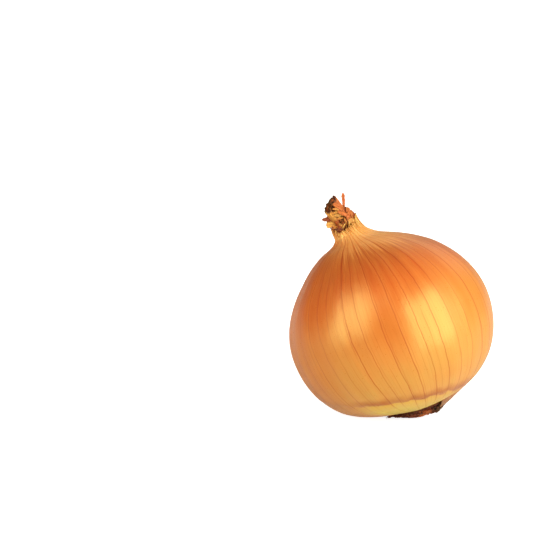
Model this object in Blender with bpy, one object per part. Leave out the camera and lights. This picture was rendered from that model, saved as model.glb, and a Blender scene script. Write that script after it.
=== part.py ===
"""A yellow onion lying on its flank: the bulb, the dry leaf ends in its neck and its root tuft.

Each piece is drawn about the onion's own axis, which runs up from the root to the neck with zero at
the body's widest level. A piece is then leaned over, as the onion lies, and cut flat where it rests.
"""

import math
import random

import bmesh
import bpy
from mathutils import Matrix, Vector, geometry, noise

MM = 0.001

# Body, as radius and height about the axis. Handles bend the curve between two of these places
EQUATOR_RADIUS = 39.0 * MM
EQUATOR_HEIGHT = -1.5 * MM
BASE_RADIUS = 12.8 * MM
BASE_HEIGHT = -33.2 * MM
SHOULDER_RADIUS = 12.4 * MM
SHOULDER_HEIGHT = 32.9 * MM
NECK_RADIUS = 5.55 * MM
NECK_HEIGHT = 39.0 * MM
FLANK_HANDLES = ((27.5 * MM, -31.0 * MM), (39.0 * MM, -19.6 * MM))
CROWN_HANDLES = ((39.0 * MM, 14.5 * MM), (25.2 * MM, 27.8 * MM))
FLARE_HANDLES = ((8.2 * MM, 34.4 * MM), (5.8 * MM, 36.2 * MM))

# Rim of the torn outer skin: its mean height, and how far it drops in front and rises behind
RIM_RADIUS = 5.3 * MM
RIM_HEIGHT = 41.3 * MM
RIM_SLANT = 1.2 * MM
RIM_LOW_SIDE = math.radians(265)
RIM_TEAR = 1.0 * MM
RIM_START = 36.5 * MM

# Cup in the neck, which the rim stands round
CUP_RADIUS = 4.4 * MM
CUP_FLOOR = 37.0 * MM

# Lean of the neck's centre line: it starts here and has moved this far at the height of the leaf ends.
# The slices across it stay level in the body, and tip over with the line higher up
LEAN_START = 24.0 * MM
LEAN_HEIGHT = 46.0 * MM
LEAN_OFFSET = Vector((-4.6, -1.0, 0)) * MM
LEAN_BEND = 1.2
TIP_START = 32.0 * MM
TIP_END = 41.0 * MM

# Base: the body's left side is lifted below this height, all of it from this far to the left
BASE_LIFT = 0.75 * MM
LIFT_START = -26.0 * MM
LIFT_SPAN = 6.0 * MM
LIFT_WIDTH = 10.0 * MM

# Shallow ribs along the body, and deeper folds in the neck
RIB_COUNT = 12
RIB_DEPTH = 0.12 * MM
FOLD_COUNT = 9
FOLD_DEPTH = 0.28 * MM
FOLD_START = 32.0 * MM
LOBE_SHARE = 0.004

# Seat of the root plate in the base
SEAT_RADIUS = 11.8 * MM
SEAT_DEPTH = 0.9 * MM
CLEARANCE = 0.35 * MM

# Pith in the neck, and the torn leaf ends that stand in it
PITH_RADIUS = CUP_RADIUS - CLEARANCE
PITH_TOP = 38.9 * MM
LEAF_THICKNESS = 0.62 * MM
LEAF_ROOT_HEIGHT = 38.0 * MM
LEAF_FACET = math.radians(14)
LEAF_STEPS = 6
LEAF_NARROWING = 0.3
LEAF_TEAR = 0.14
LEAF_SLANT = 2.3 * MM

# Root plate, and the cut roots whose tips make a low dome
PLATE_RADIUS = SEAT_RADIUS - CLEARANCE
PLATE_TOP = BASE_HEIGHT + SEAT_DEPTH - CLEARANCE
PLATE_RIM = BASE_HEIGHT - 0.85 * MM
PLATE_CROWN = BASE_HEIGHT - 1.8 * MM
TUFT_RADIUS = 11.9 * MM
TUFT_DEPTH = 4.4 * MM
TUFT_RIM_DEPTH = 1.15 * MM
TUFT_SHIFT = Vector((4.0, 0, 0)) * MM
ROOT_COUNT = 92
ROOT_RADIUS = 0.72 * MM
ROOT_TIP_SHARE = 0.65
ROOT_BOW = 0.5 * MM
ROOT_SINK = 0.7 * MM
ROOT_LOWEST = 0.2 * MM
ROOT_SIDES = 5
ROOT_STEPS = 3

# The way the onion lies: first leaned to the left, then back, with its flank pressed this far flat
LEAN_LEFT = math.radians(20)
LEAN_BACK = math.radians(17)
FLAT_DEPTH = 1.35 * MM
CUT_REACH = 0.0001 * MM
WELD_REACH = 0.002 * MM

# Points round the body, and round the pith and the root plate. Rings in each stretch of the body
AROUND = 72
SMALL_AROUND = 24
FLANK_RINGS = 13
CROWN_RINGS = 14
FLARE_RINGS = 6
TUBE_RINGS = 3
GOLDEN_ANGLE = math.pi * (3 - math.sqrt(5))
LEAF_SEED = 3
ROOT_SEED = 11

# Each leaf end: side of the neck and half its width in degrees, then in millimetres its radius in the
# neck, the radius of its tip and the height of its tip
LEAF_ENDS = {
    "back sheet": (70, 105, 3.20, 3.2, 51.8),
    "front sheet": (222, 62, 2.95, 2.8, 49.0),
    "inner sheet": (140, 105, 2.10, 2.1, 50.2),
    "core sheet": (-20, 110, 1.15, 1.2, 48.6),
    "back flap": (78, 54, 3.60, 4.2, 46.7),
    "right flap": (12, 29, 3.64, 4.6, 45.2),
    "left flake": (178, 14, 3.50, 5.4, 48.6),
    "lower flake": (195, 20, 3.46, 5.4, 45.6),
    "front lip": (298, 17, 3.50, 5.3, 42.8),
    "upright shred": (10, 8, 3.72, 6.2, 50.8),
}


def clear_scene():
    for found in list(bpy.data.objects):
        bpy.data.objects.remove(found)


def plain_material(name, colour, roughness):
    made = bpy.data.materials.new(name)
    made.use_nodes = True
    shader = made.node_tree.nodes["Principled BSDF"]
    shader.inputs["Base Color"].default_value = (*colour, 1)
    shader.inputs["Roughness"].default_value = roughness
    shader.inputs["Metallic"].default_value = 0
    return made


def add_object(name, mesh, finish=None):
    made = bpy.data.objects.new(name, mesh)
    bpy.context.scene.collection.objects.link(made)
    if finish:
        mesh.materials.append(finish)
    return made


def smooth_step(value):
    value = min(max(value, 0.0), 1.0)
    return value * value * (3 - 2 * value)


def arc(start, handles, end, count):
    """Points of a curve from start up to, but without, end. All are (radius, height)."""
    flat = [Vector((*point, 0)) for point in (start, *handles, end)]
    return [(p.x, p.y) for p in geometry.interpolate_bezier(*flat, count + 1)[:-1]]


def body_profile():
    """The skin's (radius, height) pairs from the base's edge up to the neck's rim."""
    base = (BASE_RADIUS, BASE_HEIGHT)
    equator = (EQUATOR_RADIUS, EQUATOR_HEIGHT)
    shoulder = (SHOULDER_RADIUS, SHOULDER_HEIGHT)
    neck = (NECK_RADIUS, NECK_HEIGHT)
    rim = (RIM_RADIUS, RIM_HEIGHT)
    flank = arc(base, FLANK_HANDLES, equator, FLANK_RINGS)
    crown = arc(equator, CROWN_HANDLES, shoulder, CROWN_RINGS)
    flare = arc(shoulder, FLARE_HANDLES, neck, FLARE_RINGS)
    tube = arc(neck, (neck, rim), rim, TUBE_RINGS)
    return flank + crown + flare + tube + [rim]


def lifted(point):
    """The point, raised where it lies low on the left of the base."""
    share = smooth_step((LIFT_START - point.z) / LIFT_SPAN) * smooth_step(-point.x / LIFT_WIDTH)
    return point + Vector((0, 0, BASE_LIFT * share))


def place(radius, angle, height):
    """A point at this radius and angle, on the slice that crosses the centre line at this height."""
    span = LEAN_HEIGHT - LEAN_START
    share = max(height - LEAN_START, 0.0) / span
    centre = LEAN_OFFSET * share**LEAN_BEND
    slope = LEAN_OFFSET / span * LEAN_BEND * share ** (LEAN_BEND - 1)
    out = Vector((math.cos(angle), math.sin(angle), 0)) * radius
    tip = smooth_step((height - TIP_START) / (TIP_END - TIP_START))
    return lifted(centre + out + Vector((0, 0, height - out.dot(slope) * tip)))


def uneven(angle, roughness, level=0.0):
    """Smooth noise from -1 to 1 round the axis, with the same value after a full turn."""
    around = Vector((math.cos(angle), math.sin(angle), 0)) * roughness
    return noise.noise(around + Vector((0, 0, level)))


def skin_radius(radius, angle, height):
    """The body's radius with its lobes, its ribs and the folds of the neck."""
    fullness = smooth_step(radius / EQUATOR_RADIUS)
    lobes = LOBE_SHARE * (math.cos(2 * angle + 0.9) + 0.7 * math.cos(3 * angle - 0.4)) * fullness
    ribs = RIB_DEPTH * math.cos(RIB_COUNT * angle + 2 * uneven(angle, 1.6)) * fullness
    gather = smooth_step((height - FOLD_START) / (NECK_HEIGHT - FOLD_START))
    folds = FOLD_DEPTH * math.cos(FOLD_COUNT * angle + 3 * uneven(angle, 1.2, 4.0)) * gather
    return radius * (1 + lobes) + ribs + folds


def rim_height(angle):
    """The torn rim's height, which is lowest in front."""
    slanted = RIM_HEIGHT - RIM_SLANT * math.cos(angle - RIM_LOW_SIDE)
    return slanted + RIM_TEAR * uneven(angle, 4.5, 9.0)


def up_to_rim(height, angle):
    """Stretches the heights above RIM_START so that RIM_HEIGHT lands on the torn rim."""
    if height <= RIM_START:
        return height
    share = (height - RIM_START) / (RIM_HEIGHT - RIM_START)
    return RIM_START + share * (rim_height(angle) - RIM_START)


def finished_mesh(name, body):
    """The bmesh as a mesh, with its faces pointing out."""
    bmesh.ops.recalc_face_normals(body, faces=body.faces)
    mesh = bpy.data.meshes.new(name)
    body.to_mesh(mesh)
    body.free()
    return mesh


def turned_mesh(name, rings, tip_low, tip_high):
    """A closed mesh from rings of points, with a point at either end. Every ring has as many points."""
    body = bmesh.new()
    loops = [[body.verts.new(point) for point in ring] for ring in rings]
    for low, high in zip(loops, loops[1:]):
        for i, corner in enumerate(low):
            j = (i + 1) % len(low)
            body.faces.new((corner, low[j], high[j], high[i]))
    for loop, tip in ((loops[0], tip_low), (loops[-1], tip_high)):
        centre = body.verts.new(tip)
        for i, corner in enumerate(loop):
            body.faces.new((corner, loop[(i + 1) % len(loop)], centre))
    return finished_mesh(name, body)


def turns_of(count):
    """The angles of this many points round the axis."""
    return [math.tau * i / count for i in range(count)]


def bulb_mesh():
    """The bulb: a recessed seat for the root plate, the skin, and the neck's shallow cup."""
    angles = turns_of(AROUND)
    floor = BASE_HEIGHT + SEAT_DEPTH
    seat = ((0.4 * SEAT_RADIUS, floor), (SEAT_RADIUS, floor), (SEAT_RADIUS, BASE_HEIGHT))
    rings = [[place(radius, a, height) for a in angles] for radius, height in seat]
    for radius, height in body_profile():
        rings.append([place(skin_radius(radius, a, height), a, up_to_rim(height, a)) for a in angles])
    for height in (RIM_HEIGHT, 0.5 * (RIM_HEIGHT + CUP_FLOOR), CUP_FLOOR):
        rings.append([place(CUP_RADIUS, a, up_to_rim(height, a)) for a in angles])
    cup_floor = up_to_rim(CUP_FLOOR, RIM_LOW_SIDE)
    rings.append([place(0.4 * CUP_RADIUS, a, cup_floor) for a in angles])
    return turned_mesh("bulb", rings, place(0, 0, floor), place(0, 0, cup_floor))


def pith_mesh():
    """The dry pith that fills the neck's cup, and holds the leaf ends."""
    angles = turns_of(SMALL_AROUND)
    low = CUP_FLOOR + CLEARANCE
    levels = ((0.5, low), (1.0, low), (1.0, 0.5 * (low + PITH_TOP)), (0.7, PITH_TOP))
    rings = [[place(share * PITH_RADIUS, a, height) for a in angles] for share, height in levels]
    return turned_mesh("pith", rings, place(0, 0, low), place(0, 0, PITH_TOP))


def leaf_path(side, radius, tip_radius, tip_height):
    """The leaf end's middle line as (radius, height), upright in the neck and opening above its rim."""
    upright = max(0.45 * LEAF_ROOT_HEIGHT + 0.55 * tip_height, 0.5 * (rim_height(side) + tip_height))
    opening = 0.3 * upright + 0.7 * tip_height
    points = ((radius, LEAF_ROOT_HEIGHT), (radius, upright))
    points += ((0.6 * radius + 0.4 * tip_radius, opening), (tip_radius, tip_height))
    return geometry.interpolate_bezier(*[Vector((*point, 0)) for point in points], LEAF_STEPS + 1)


def leaf_faces(rng, side, half_width, radius, tip_radius, tip_height):
    """Rows of points for the leaf end's outer and inner face. Its tip is torn and lower on the left."""
    across = max(2, round(half_width / LEAF_FACET))
    path = leaf_path(side, radius, tip_radius, tip_height)
    torn = [rng.uniform(0, LEAF_TEAR) for _ in range(across + 1)]
    outer, inner = [], []
    for i, point in enumerate(path):
        share = i / LEAF_STEPS
        ahead = path[min(i + 1, LEAF_STEPS)] - path[max(i - 1, 0)]
        normal = Vector((ahead.y, -ahead.x, 0)).normalized() * LEAF_THICKNESS / 2
        width = half_width * (1 - LEAF_NARROWING * share**3)
        turns = [side + width * (2 * j / across - 1) for j in range(across + 1)]
        drops = [share**3 * (LEAF_SLANT * (0.5 - 0.5 * math.cos(turn)) + tear * (tip_height - RIM_HEIGHT))
                 for turn, tear in zip(turns, torn)]
        for rows, skin in ((outer, point + normal), (inner, point - normal)):
            rows.append([place(skin.x, turn, skin.y - drop) for turn, drop in zip(turns, drops)])
    return outer, inner


def strip_edge(rows):
    """The points round the outside of the rows, in order."""
    right = [row[-1] for row in rows[1:-1]]
    left = [row[0] for row in rows[-2:0:-1]]
    return rows[0] + right + rows[-1][::-1] + left


def strip_mesh(name, outer, inner):
    """A closed sheet between two alike grids of points."""
    body = bmesh.new()
    grids = [[[body.verts.new(point) for point in row] for row in rows] for rows in (outer, inner)]
    for rows in grids:
        for low, high in zip(rows, rows[1:]):
            for j in range(len(low) - 1):
                body.faces.new((low[j], low[j + 1], high[j + 1], high[j]))
    outside, inside = (strip_edge(rows) for rows in grids)
    for i, corner in enumerate(outside):
        j = (i + 1) % len(outside)
        body.faces.new((corner, outside[j], inside[j], inside[i]))
    return finished_mesh(name, body)


def keep_outer_surface(mesh):
    """Drops the tiny edges and the small closed surfaces that fusing leaves, so that hollows are filled."""
    body = bmesh.new()
    body.from_mesh(mesh)
    bmesh.ops.remove_doubles(body, verts=body.verts, dist=WELD_REACH)
    unseen = set(body.verts)
    surfaces = []
    while unseen:
        reached = [unseen.pop()]
        for corner in reached:
            beside = {edge.other_vert(corner) for edge in corner.link_edges} & unseen
            unseen -= beside
            reached.extend(beside)
        surfaces.append(reached)
    surfaces.sort(key=len)
    for small in surfaces[:-1]:
        bmesh.ops.delete(body, geom=small, context="VERTS")
    body.to_mesh(mesh)
    body.free()


def joined(base, parts):
    """The base with every other object fused into it, as one closed mesh."""
    group = bpy.data.collections.new("to join")
    bpy.context.scene.collection.children.link(group)
    for part in parts:
        bpy.context.scene.collection.objects.unlink(part)
        group.objects.link(part)
    union = base.modifiers.new("join", "BOOLEAN")
    union.operation = "UNION"
    union.operand_type = "COLLECTION"
    union.collection = group
    union.solver = "MANIFOLD"
    evaluated = base.evaluated_get(bpy.context.evaluated_depsgraph_get())
    mesh = bpy.data.meshes.new_from_object(evaluated)
    keep_outer_surface(mesh)
    base.modifiers.clear()
    base.data = mesh
    for part in parts:
        bpy.data.objects.remove(part)
    bpy.data.collections.remove(group)
    return base


def leaf_ends(finish):
    """The torn leaf ends, fused to the pith that they grow from."""
    rng = random.Random(LEAF_SEED)
    pith = add_object("neck_leaf_ends", pith_mesh(), finish)
    strips = []
    for name, (side, half_width, radius, tip_radius, tip_height) in LEAF_ENDS.items():
        turned = math.radians(side), math.radians(half_width)
        faces = leaf_faces(rng, *turned, radius * MM, tip_radius * MM, tip_height * MM)
        strips.append(add_object(name, strip_mesh(name, *faces)))
    return joined(pith, strips)


def plate_mesh():
    """The corky plate that sits in the base's seat."""
    angles = turns_of(SMALL_AROUND)
    bulge = 0.6 * PLATE_RIM + 0.4 * PLATE_CROWN
    levels = ((0.5, PLATE_CROWN), (0.9, bulge), (1.0, PLATE_RIM), (1.0, PLATE_TOP), (0.5, PLATE_TOP))
    rings = [[place(share * PLATE_RADIUS, a, height) for a in angles] for share, height in levels]
    return turned_mesh("plate", rings, place(0, 0, PLATE_CROWN), place(0, 0, PLATE_TOP))


def root_ends(rng, index, to_table):
    """Where a root starts in the plate, and its tip: on a low dome, or where it meets the table."""
    share = math.sqrt((index + 0.5) / ROOT_COUNT)
    turn = index * GOLDEN_ANGLE + rng.uniform(-0.2, 0.2)
    out = Vector((math.cos(turn), math.sin(turn), 0))
    middle = 1 - share**2
    start = out * share * PLATE_RADIUS * 0.9
    start.z = PLATE_RIM + (PLATE_CROWN - PLATE_RIM) * middle + ROOT_SINK
    tip = out * share * TUFT_RADIUS * rng.uniform(0.96, 1.04) + TUFT_SHIFT * middle
    depth = TUFT_RIM_DEPTH + (TUFT_DEPTH - TUFT_RIM_DEPTH) * (1 - share) * rng.uniform(0.8, 1)
    tip.z = BASE_HEIGHT - depth
    start, tip = lifted(start), lifted(tip)
    start_above, tip_above = ((to_table @ point).z - ROOT_LOWEST for point in (start, tip))
    if tip_above < 0:
        tip = start.lerp(tip, start_above / (start_above - tip_above))
    return start, tip


def root_mesh(name, rng, index, to_table):
    """A cut root: a short tapering stalk that bows a little on its way."""
    start, tip = root_ends(rng, index, to_table)
    forward = (tip - start).normalized()
    right = forward.orthogonal().normalized()
    up = forward.cross(right)
    bow = (right * rng.uniform(-1, 1) + up * rng.uniform(-1, 1)) * ROOT_BOW
    thickness = ROOT_RADIUS * rng.uniform(0.75, 1.15)
    rings = []
    for i in range(ROOT_STEPS):
        gone = i / (ROOT_STEPS - 1)
        width = thickness * (1 - (1 - ROOT_TIP_SHARE) * gone)
        centre = start.lerp(tip, gone) + bow * math.sin(math.pi * gone)
        round_it = [right * math.cos(a) + up * math.sin(a) for a in turns_of(ROOT_SIDES)]
        rings.append([centre + aside * width for aside in round_it])
    return turned_mesh(name, rings, start, centre + forward * 0.3 * thickness)


def root_tuft(finish, to_table):
    """The root plate with its cut roots fused to it."""
    rng = random.Random(ROOT_SEED)
    plate = add_object("root_tuft", plate_mesh(), finish)
    names = [f"root {i}" for i in range(ROOT_COUNT)]
    roots = [add_object(n, root_mesh(n, rng, i, to_table)) for i, n in enumerate(names)]
    return joined(plate, roots)


def resting_place(mesh):
    """The turn and shift from the onion's own axis to the way it lies, with its flank on z = 0."""
    lean = Matrix.Rotation(-LEAN_BACK, 4, "X") @ Matrix.Rotation(-LEAN_LEFT, 4, "Y")
    lowest = min((lean @ corner.co for corner in mesh.vertices), key=lambda p: p.z)
    return Matrix.Translation((-lowest.x, -lowest.y, -lowest.z - FLAT_DEPTH)) @ lean


def cut_flat(target, to_table):
    """Cuts off what the object has below z = 0, and closes the cut with one flat face."""
    back = to_table.inverted()
    body = bmesh.new()
    body.from_mesh(target.data)
    geom = body.verts[:] + body.edges[:] + body.faces[:]
    table, upright = back.translation, back.to_3x3() @ Vector((0, 0, 1))
    found = bmesh.ops.bisect_plane(
        body, geom=geom, dist=CUT_REACH, plane_co=table, plane_no=upright, clear_inner=True
    )
    rim = [item for item in found["geom_cut"] if isinstance(item, bmesh.types.BMEdge)]
    bmesh.ops.holes_fill(body, edges=rim)
    bmesh.ops.recalc_face_normals(body, faces=body.faces)
    body.to_mesh(target.data)
    body.free()


def build_onion():
    clear_scene()
    skin = plain_material("onion skin", (0.74, 0.26, 0.05), 0.38)
    straw = plain_material("dry leaf", (0.60, 0.33, 0.11), 0.75)
    bark = plain_material("root brown", (0.16, 0.055, 0.02), 0.85)
    bulb = add_object("bulb", bulb_mesh(), skin)
    to_table = resting_place(bulb.data)
    pieces = [bulb, leaf_ends(straw), root_tuft(bark, to_table)]
    attitude = bpy.data.objects.new("resting attitude", None)
    bpy.context.scene.collection.objects.link(attitude)
    attitude.matrix_world = to_table
    for piece in pieces:
        cut_flat(piece, to_table)
        piece.parent = attitude
        piece.data.shade_smooth()
    bpy.context.view_layer.update()


build_onion()
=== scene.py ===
"""The looks of a yellow onion that lies on its flank: its dry skin, torn neck and matted roots.

Every piece is drawn about the onion's own axis, which runs up from the root to the neck with zero at
the body's widest level, and is then laid down as the onion lies in the frame.
"""

import logging
import math
import random
from collections.abc import Callable, Iterable, Sequence
from dataclasses import dataclass, field
from enum import Enum

import bpy
from mathutils import Matrix, Vector, geometry, noise


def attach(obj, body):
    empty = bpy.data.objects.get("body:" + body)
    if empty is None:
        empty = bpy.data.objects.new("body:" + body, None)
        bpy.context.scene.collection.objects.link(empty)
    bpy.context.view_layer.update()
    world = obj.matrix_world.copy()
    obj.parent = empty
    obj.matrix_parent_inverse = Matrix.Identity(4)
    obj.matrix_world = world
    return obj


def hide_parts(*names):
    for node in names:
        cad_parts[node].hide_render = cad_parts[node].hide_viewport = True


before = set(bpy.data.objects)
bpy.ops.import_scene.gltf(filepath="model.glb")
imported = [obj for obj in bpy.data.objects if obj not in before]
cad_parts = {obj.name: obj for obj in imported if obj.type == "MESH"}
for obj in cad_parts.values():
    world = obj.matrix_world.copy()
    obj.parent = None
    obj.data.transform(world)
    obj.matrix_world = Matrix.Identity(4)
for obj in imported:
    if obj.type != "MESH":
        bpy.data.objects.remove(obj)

MM = 0.001
GOLDEN_ANGLE = math.pi * (3 - math.sqrt(5))
BODY = "root"
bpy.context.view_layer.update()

Pair = tuple[float, float]
Rise = tuple[float, ...]
Ring = tuple[float, list[Pair]]
Colour = tuple[float, float, float, float]
Stops = tuple[tuple[float, str], ...]
Socket = bpy.types.NodeSocket
Value = float | Socket | Colour
log = logging.getLogger("onion")


class Layer(Enum):
    """The named layers of surface coordinates that the finishes read."""

    VEINS = "veins"
    TURN = "turn"
    LEVEL = "level"
    EDGE = "edge"
    STRAND = "strand"
    TONE = "tone"


class Slot(Enum):
    """The record's material slots."""

    SKIN = "onion_skin"
    LEAF = "dry_leaf"
    ROOT = "dry_root"


def smooth_step(value: float, start: float = 0.0, end: float = 1.0) -> float:
    """A soft rise from 0 to 1.

    Args:
        value: What is measured.
        start: Where the rise starts.
        end: Where it is complete, above the start or below it.

    Returns:
        How far the rise has come.
    """
    share = min(max((value - start) / (end - start), 0.0), 1.0)
    return share * share * (3 - 2 * share)


def bell(value: float, width: float, power: int = 2) -> float:
    """A soft bump that is 1 where the value is 0 and gone a few widths away."""
    return math.exp(-abs(value / width) ** power)


def around_axis(angle: float, reach: float = 1.0, height: float = 0.0) -> Vector:
    """The point at this angle, reach and height about the axis."""
    return Vector((math.cos(angle) * reach, math.sin(angle) * reach, height))


def paint(code: str) -> Colour:
    """A hex colour, such as E8A04C, as the linear colour that a shader takes.

    Args:
        code: Six hex digits of red, green and blue.

    Returns:
        The linear red, green and blue, with full opacity.
    """
    parts = [int(code[i:i + 2], 16) / 255 for i in (0, 2, 4)]
    red, green, blue = (p / 12.92 if p <= 0.04045 else ((p + 0.055) / 1.055) ** 2.4 for p in parts)
    return red, green, blue, 1.0


def uneven(angle: float, roughness: float, level: float = 0.0) -> float:
    """Smooth noise from -1 to 1 round the axis, with the same value after a full turn."""
    return noise.noise(around_axis(angle) * roughness + Vector((0, 0, level)))


@dataclass(frozen=True)
class Ripple:
    """Smooth noise round the axis: how strong and how rough it is, and where in the noise it lies."""

    strength: float
    roughness: float
    level: float = 0.0

    def at(self, angle: float, level: float = 0.0) -> float:
        """The ripple's value at an angle, and at a level along the axis."""
        return self.strength * uneven(angle, self.roughness, self.level + level)


@dataclass(frozen=True)
class Folds:
    """Folds from root to neck: how many go round, how deep they are, and how they wander sideways."""

    count: int
    depth: float
    wander: float
    roughness: float
    length: float = math.inf
    level: float = 0.0

    def at(self, angle: float, height: float = 0.0) -> float:
        """How far the folds stand out at an angle and a height."""
        wander = self.wander * uneven(angle, self.roughness, height / self.length + self.level)
        return self.depth * math.cos(self.count * angle + wander)


@dataclass(frozen=True)
class OnionForm:
    """The onion's shape about its own axis, with the same sizes as the frame's solids.

    The lobes are (how many go round, how strong, turned by how much).
    """

    equator: Pair = (39.0 * MM, -1.5 * MM)
    base: Pair = (12.8 * MM, -33.2 * MM)
    shoulder: Pair = (12.4 * MM, 32.9 * MM)
    neck: Pair = (5.55 * MM, 39.0 * MM)
    rim: Pair = (5.3 * MM, 41.3 * MM)
    flank_handles: tuple[Pair, Pair] = ((27.5 * MM, -31.0 * MM), (39.0 * MM, -19.6 * MM))
    crown_handles: tuple[Pair, Pair] = ((39.0 * MM, 14.5 * MM), (25.2 * MM, 27.8 * MM))
    flare_handles: tuple[Pair, Pair] = ((8.2 * MM, 34.4 * MM), (5.8 * MM, 36.2 * MM))
    rim_slant: float = 1.2 * MM
    rim_low_side: float = math.radians(265)
    rim_tear: Ripple = Ripple(1.0 * MM, 4.5, 9.0)
    rim_start: float = 36.5 * MM
    cup_radius: float = 4.4 * MM
    cup_floor: float = 37.0 * MM
    seat_radius: float = 11.8 * MM
    seat_depth: float = 0.9 * MM
    lean_start: float = 24.0 * MM
    lean_height: float = 46.0 * MM
    lean_offset: Pair = (-4.6 * MM, -1.0 * MM)
    lean_bend: float = 1.2
    tip_start: float = 32.0 * MM
    tip_end: float = 41.0 * MM
    base_lift: float = 0.75 * MM
    lift_start: float = -26.0 * MM
    lift_end: float = -32.0 * MM
    lift_width: float = 10.0 * MM
    lobe_share: float = 0.004
    lobes: tuple[tuple[int, float, float], ...] = ((2, 1.0, 0.9), (3, 0.7, -0.4))
    ribs: Folds = Folds(12, 0.12 * MM, 2.0, 1.6)
    folds: Folds = Folds(9, 0.28 * MM, 3.0, 1.2, level=4.0)
    fold_start: float = 32.0 * MM
    level_margins: Pair = (4.0 * MM, 2.0 * MM)

    def level(self, height: float) -> float:
        """The height as a share of the way from below the base's edge to above the rim."""
        low, high = self.base[1] - self.level_margins[0], self.rim[1] + self.level_margins[1]
        return (height - low) / (high - low)

    def lifted(self, point: Vector) -> Vector:
        """The point, raised where it lies low on the left of the base."""
        low = smooth_step(point.z, self.lift_start, self.lift_end)
        return point + Vector((0, 0, self.base_lift * low * smooth_step(-point.x / self.lift_width)))

    def place(self, radius: float, angle: float, height: float) -> Vector:
        """A point on the slice that crosses the neck's leaning centre line at this height.

        Args:
            radius: The distance from the centre line.
            angle: Where round it, in radians.
            height: The slice's height.

        Returns:
            The point, about the onion's axis.
        """
        span = self.lean_height - self.lean_start
        share = max(height - self.lean_start, 0.0) / span
        offset = Vector((*self.lean_offset, 0))
        centre = offset * share**self.lean_bend
        slope = offset / span * self.lean_bend * share ** (self.lean_bend - 1)
        out = around_axis(angle) * radius
        tip = smooth_step(height, self.tip_start, self.tip_end)
        return self.lifted(centre + out + Vector((0, 0, height - out.dot(slope) * tip)))

    def skin_radius(self, radius: float, angle: float, height: float) -> float:
        """The body's radius with its lobes, its ribs and the folds of the neck.

        Args:
            radius: The plain radius of the profile.
            angle: Where round the axis, in radians.
            height: The height about the widest level.

        Returns:
            The radius of the skin there.
        """
        fullness = smooth_step(radius / self.equator[0])
        waves = sum(strength * math.cos(count * angle + turn) for count, strength, turn in self.lobes)
        gather = smooth_step(height, self.fold_start, self.neck[1])
        lobed = radius * (1 + self.lobe_share * waves * fullness)
        return lobed + self.ribs.at(angle) * fullness + self.folds.at(angle) * gather

    def rim_height(self, angle: float) -> float:
        """The torn rim's height, which is lowest in front."""
        return self.rim[1] - self.rim_slant * math.cos(angle - self.rim_low_side) + self.rim_tear.at(angle)

    def up_to_rim(self, height: float, rim: float) -> float:
        """The height, stretched so that the profile's rim lands on the torn rim.

        Args:
            height: A height in the plain profile.
            rim: The height of the torn rim on this side.

        Returns:
            The stretched height.
        """
        if height <= self.rim_start:
            return height
        share = (height - self.rim_start) / (self.rim[1] - self.rim_start)
        return self.rim_start + share * (rim - self.rim_start)

    def profile(self, rings: Sequence[int]) -> list[Pair]:
        """The skin's radius and height from the base's edge up to the neck's rim.

        Args:
            rings: How many rings the flank, the crown, the neck's flare and its tube have.

        Returns:
            The pairs of radius and height, in order.
        """
        stretches = (
            (self.base, self.flank_handles, self.equator),
            (self.equator, self.crown_handles, self.shoulder),
            (self.shoulder, self.flare_handles, self.neck),
            (self.neck, (self.neck, self.rim), self.rim),
        )
        found: list[Pair] = []
        for (start, handles, end), count in zip(stretches, rings):
            found += curve((start, *handles, end), count)[:-1]
        return found + [self.rim]


def curve(corners: Sequence[Pair], steps: int) -> list[Pair]:
    """The points of a flat curve, from its first corner to its last one past its two handles."""
    flat = [Vector((*corner, 0)) for corner in corners]
    return [(p.x, p.y) for p in geometry.interpolate_bezier(*flat, steps + 1)]


@dataclass(frozen=True)
class Lie:
    """How the onion lies: leaned to the left, then back, with its flank on the floor."""

    lean_left: float = math.radians(20)
    lean_back: float = math.radians(17)
    centre: tuple[float, float, float] = (8.49 * MM, -5.806 * MM, 35.175 * MM)

    def matrix(self) -> Matrix:
        """The turn and shift from the onion's own axis to the way it lies."""
        lean = Matrix.Rotation(-self.lean_back, 4, "X") @ Matrix.Rotation(-self.lean_left, 4, "Y")
        return Matrix.Translation(self.centre) @ lean


@dataclass(frozen=True)
class Spot:
    """A place on a thin sheet: its point on each face, and the surface coordinates that they share."""

    outer: Vector
    inner: Vector
    marks: dict[Layer, Pair]


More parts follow.
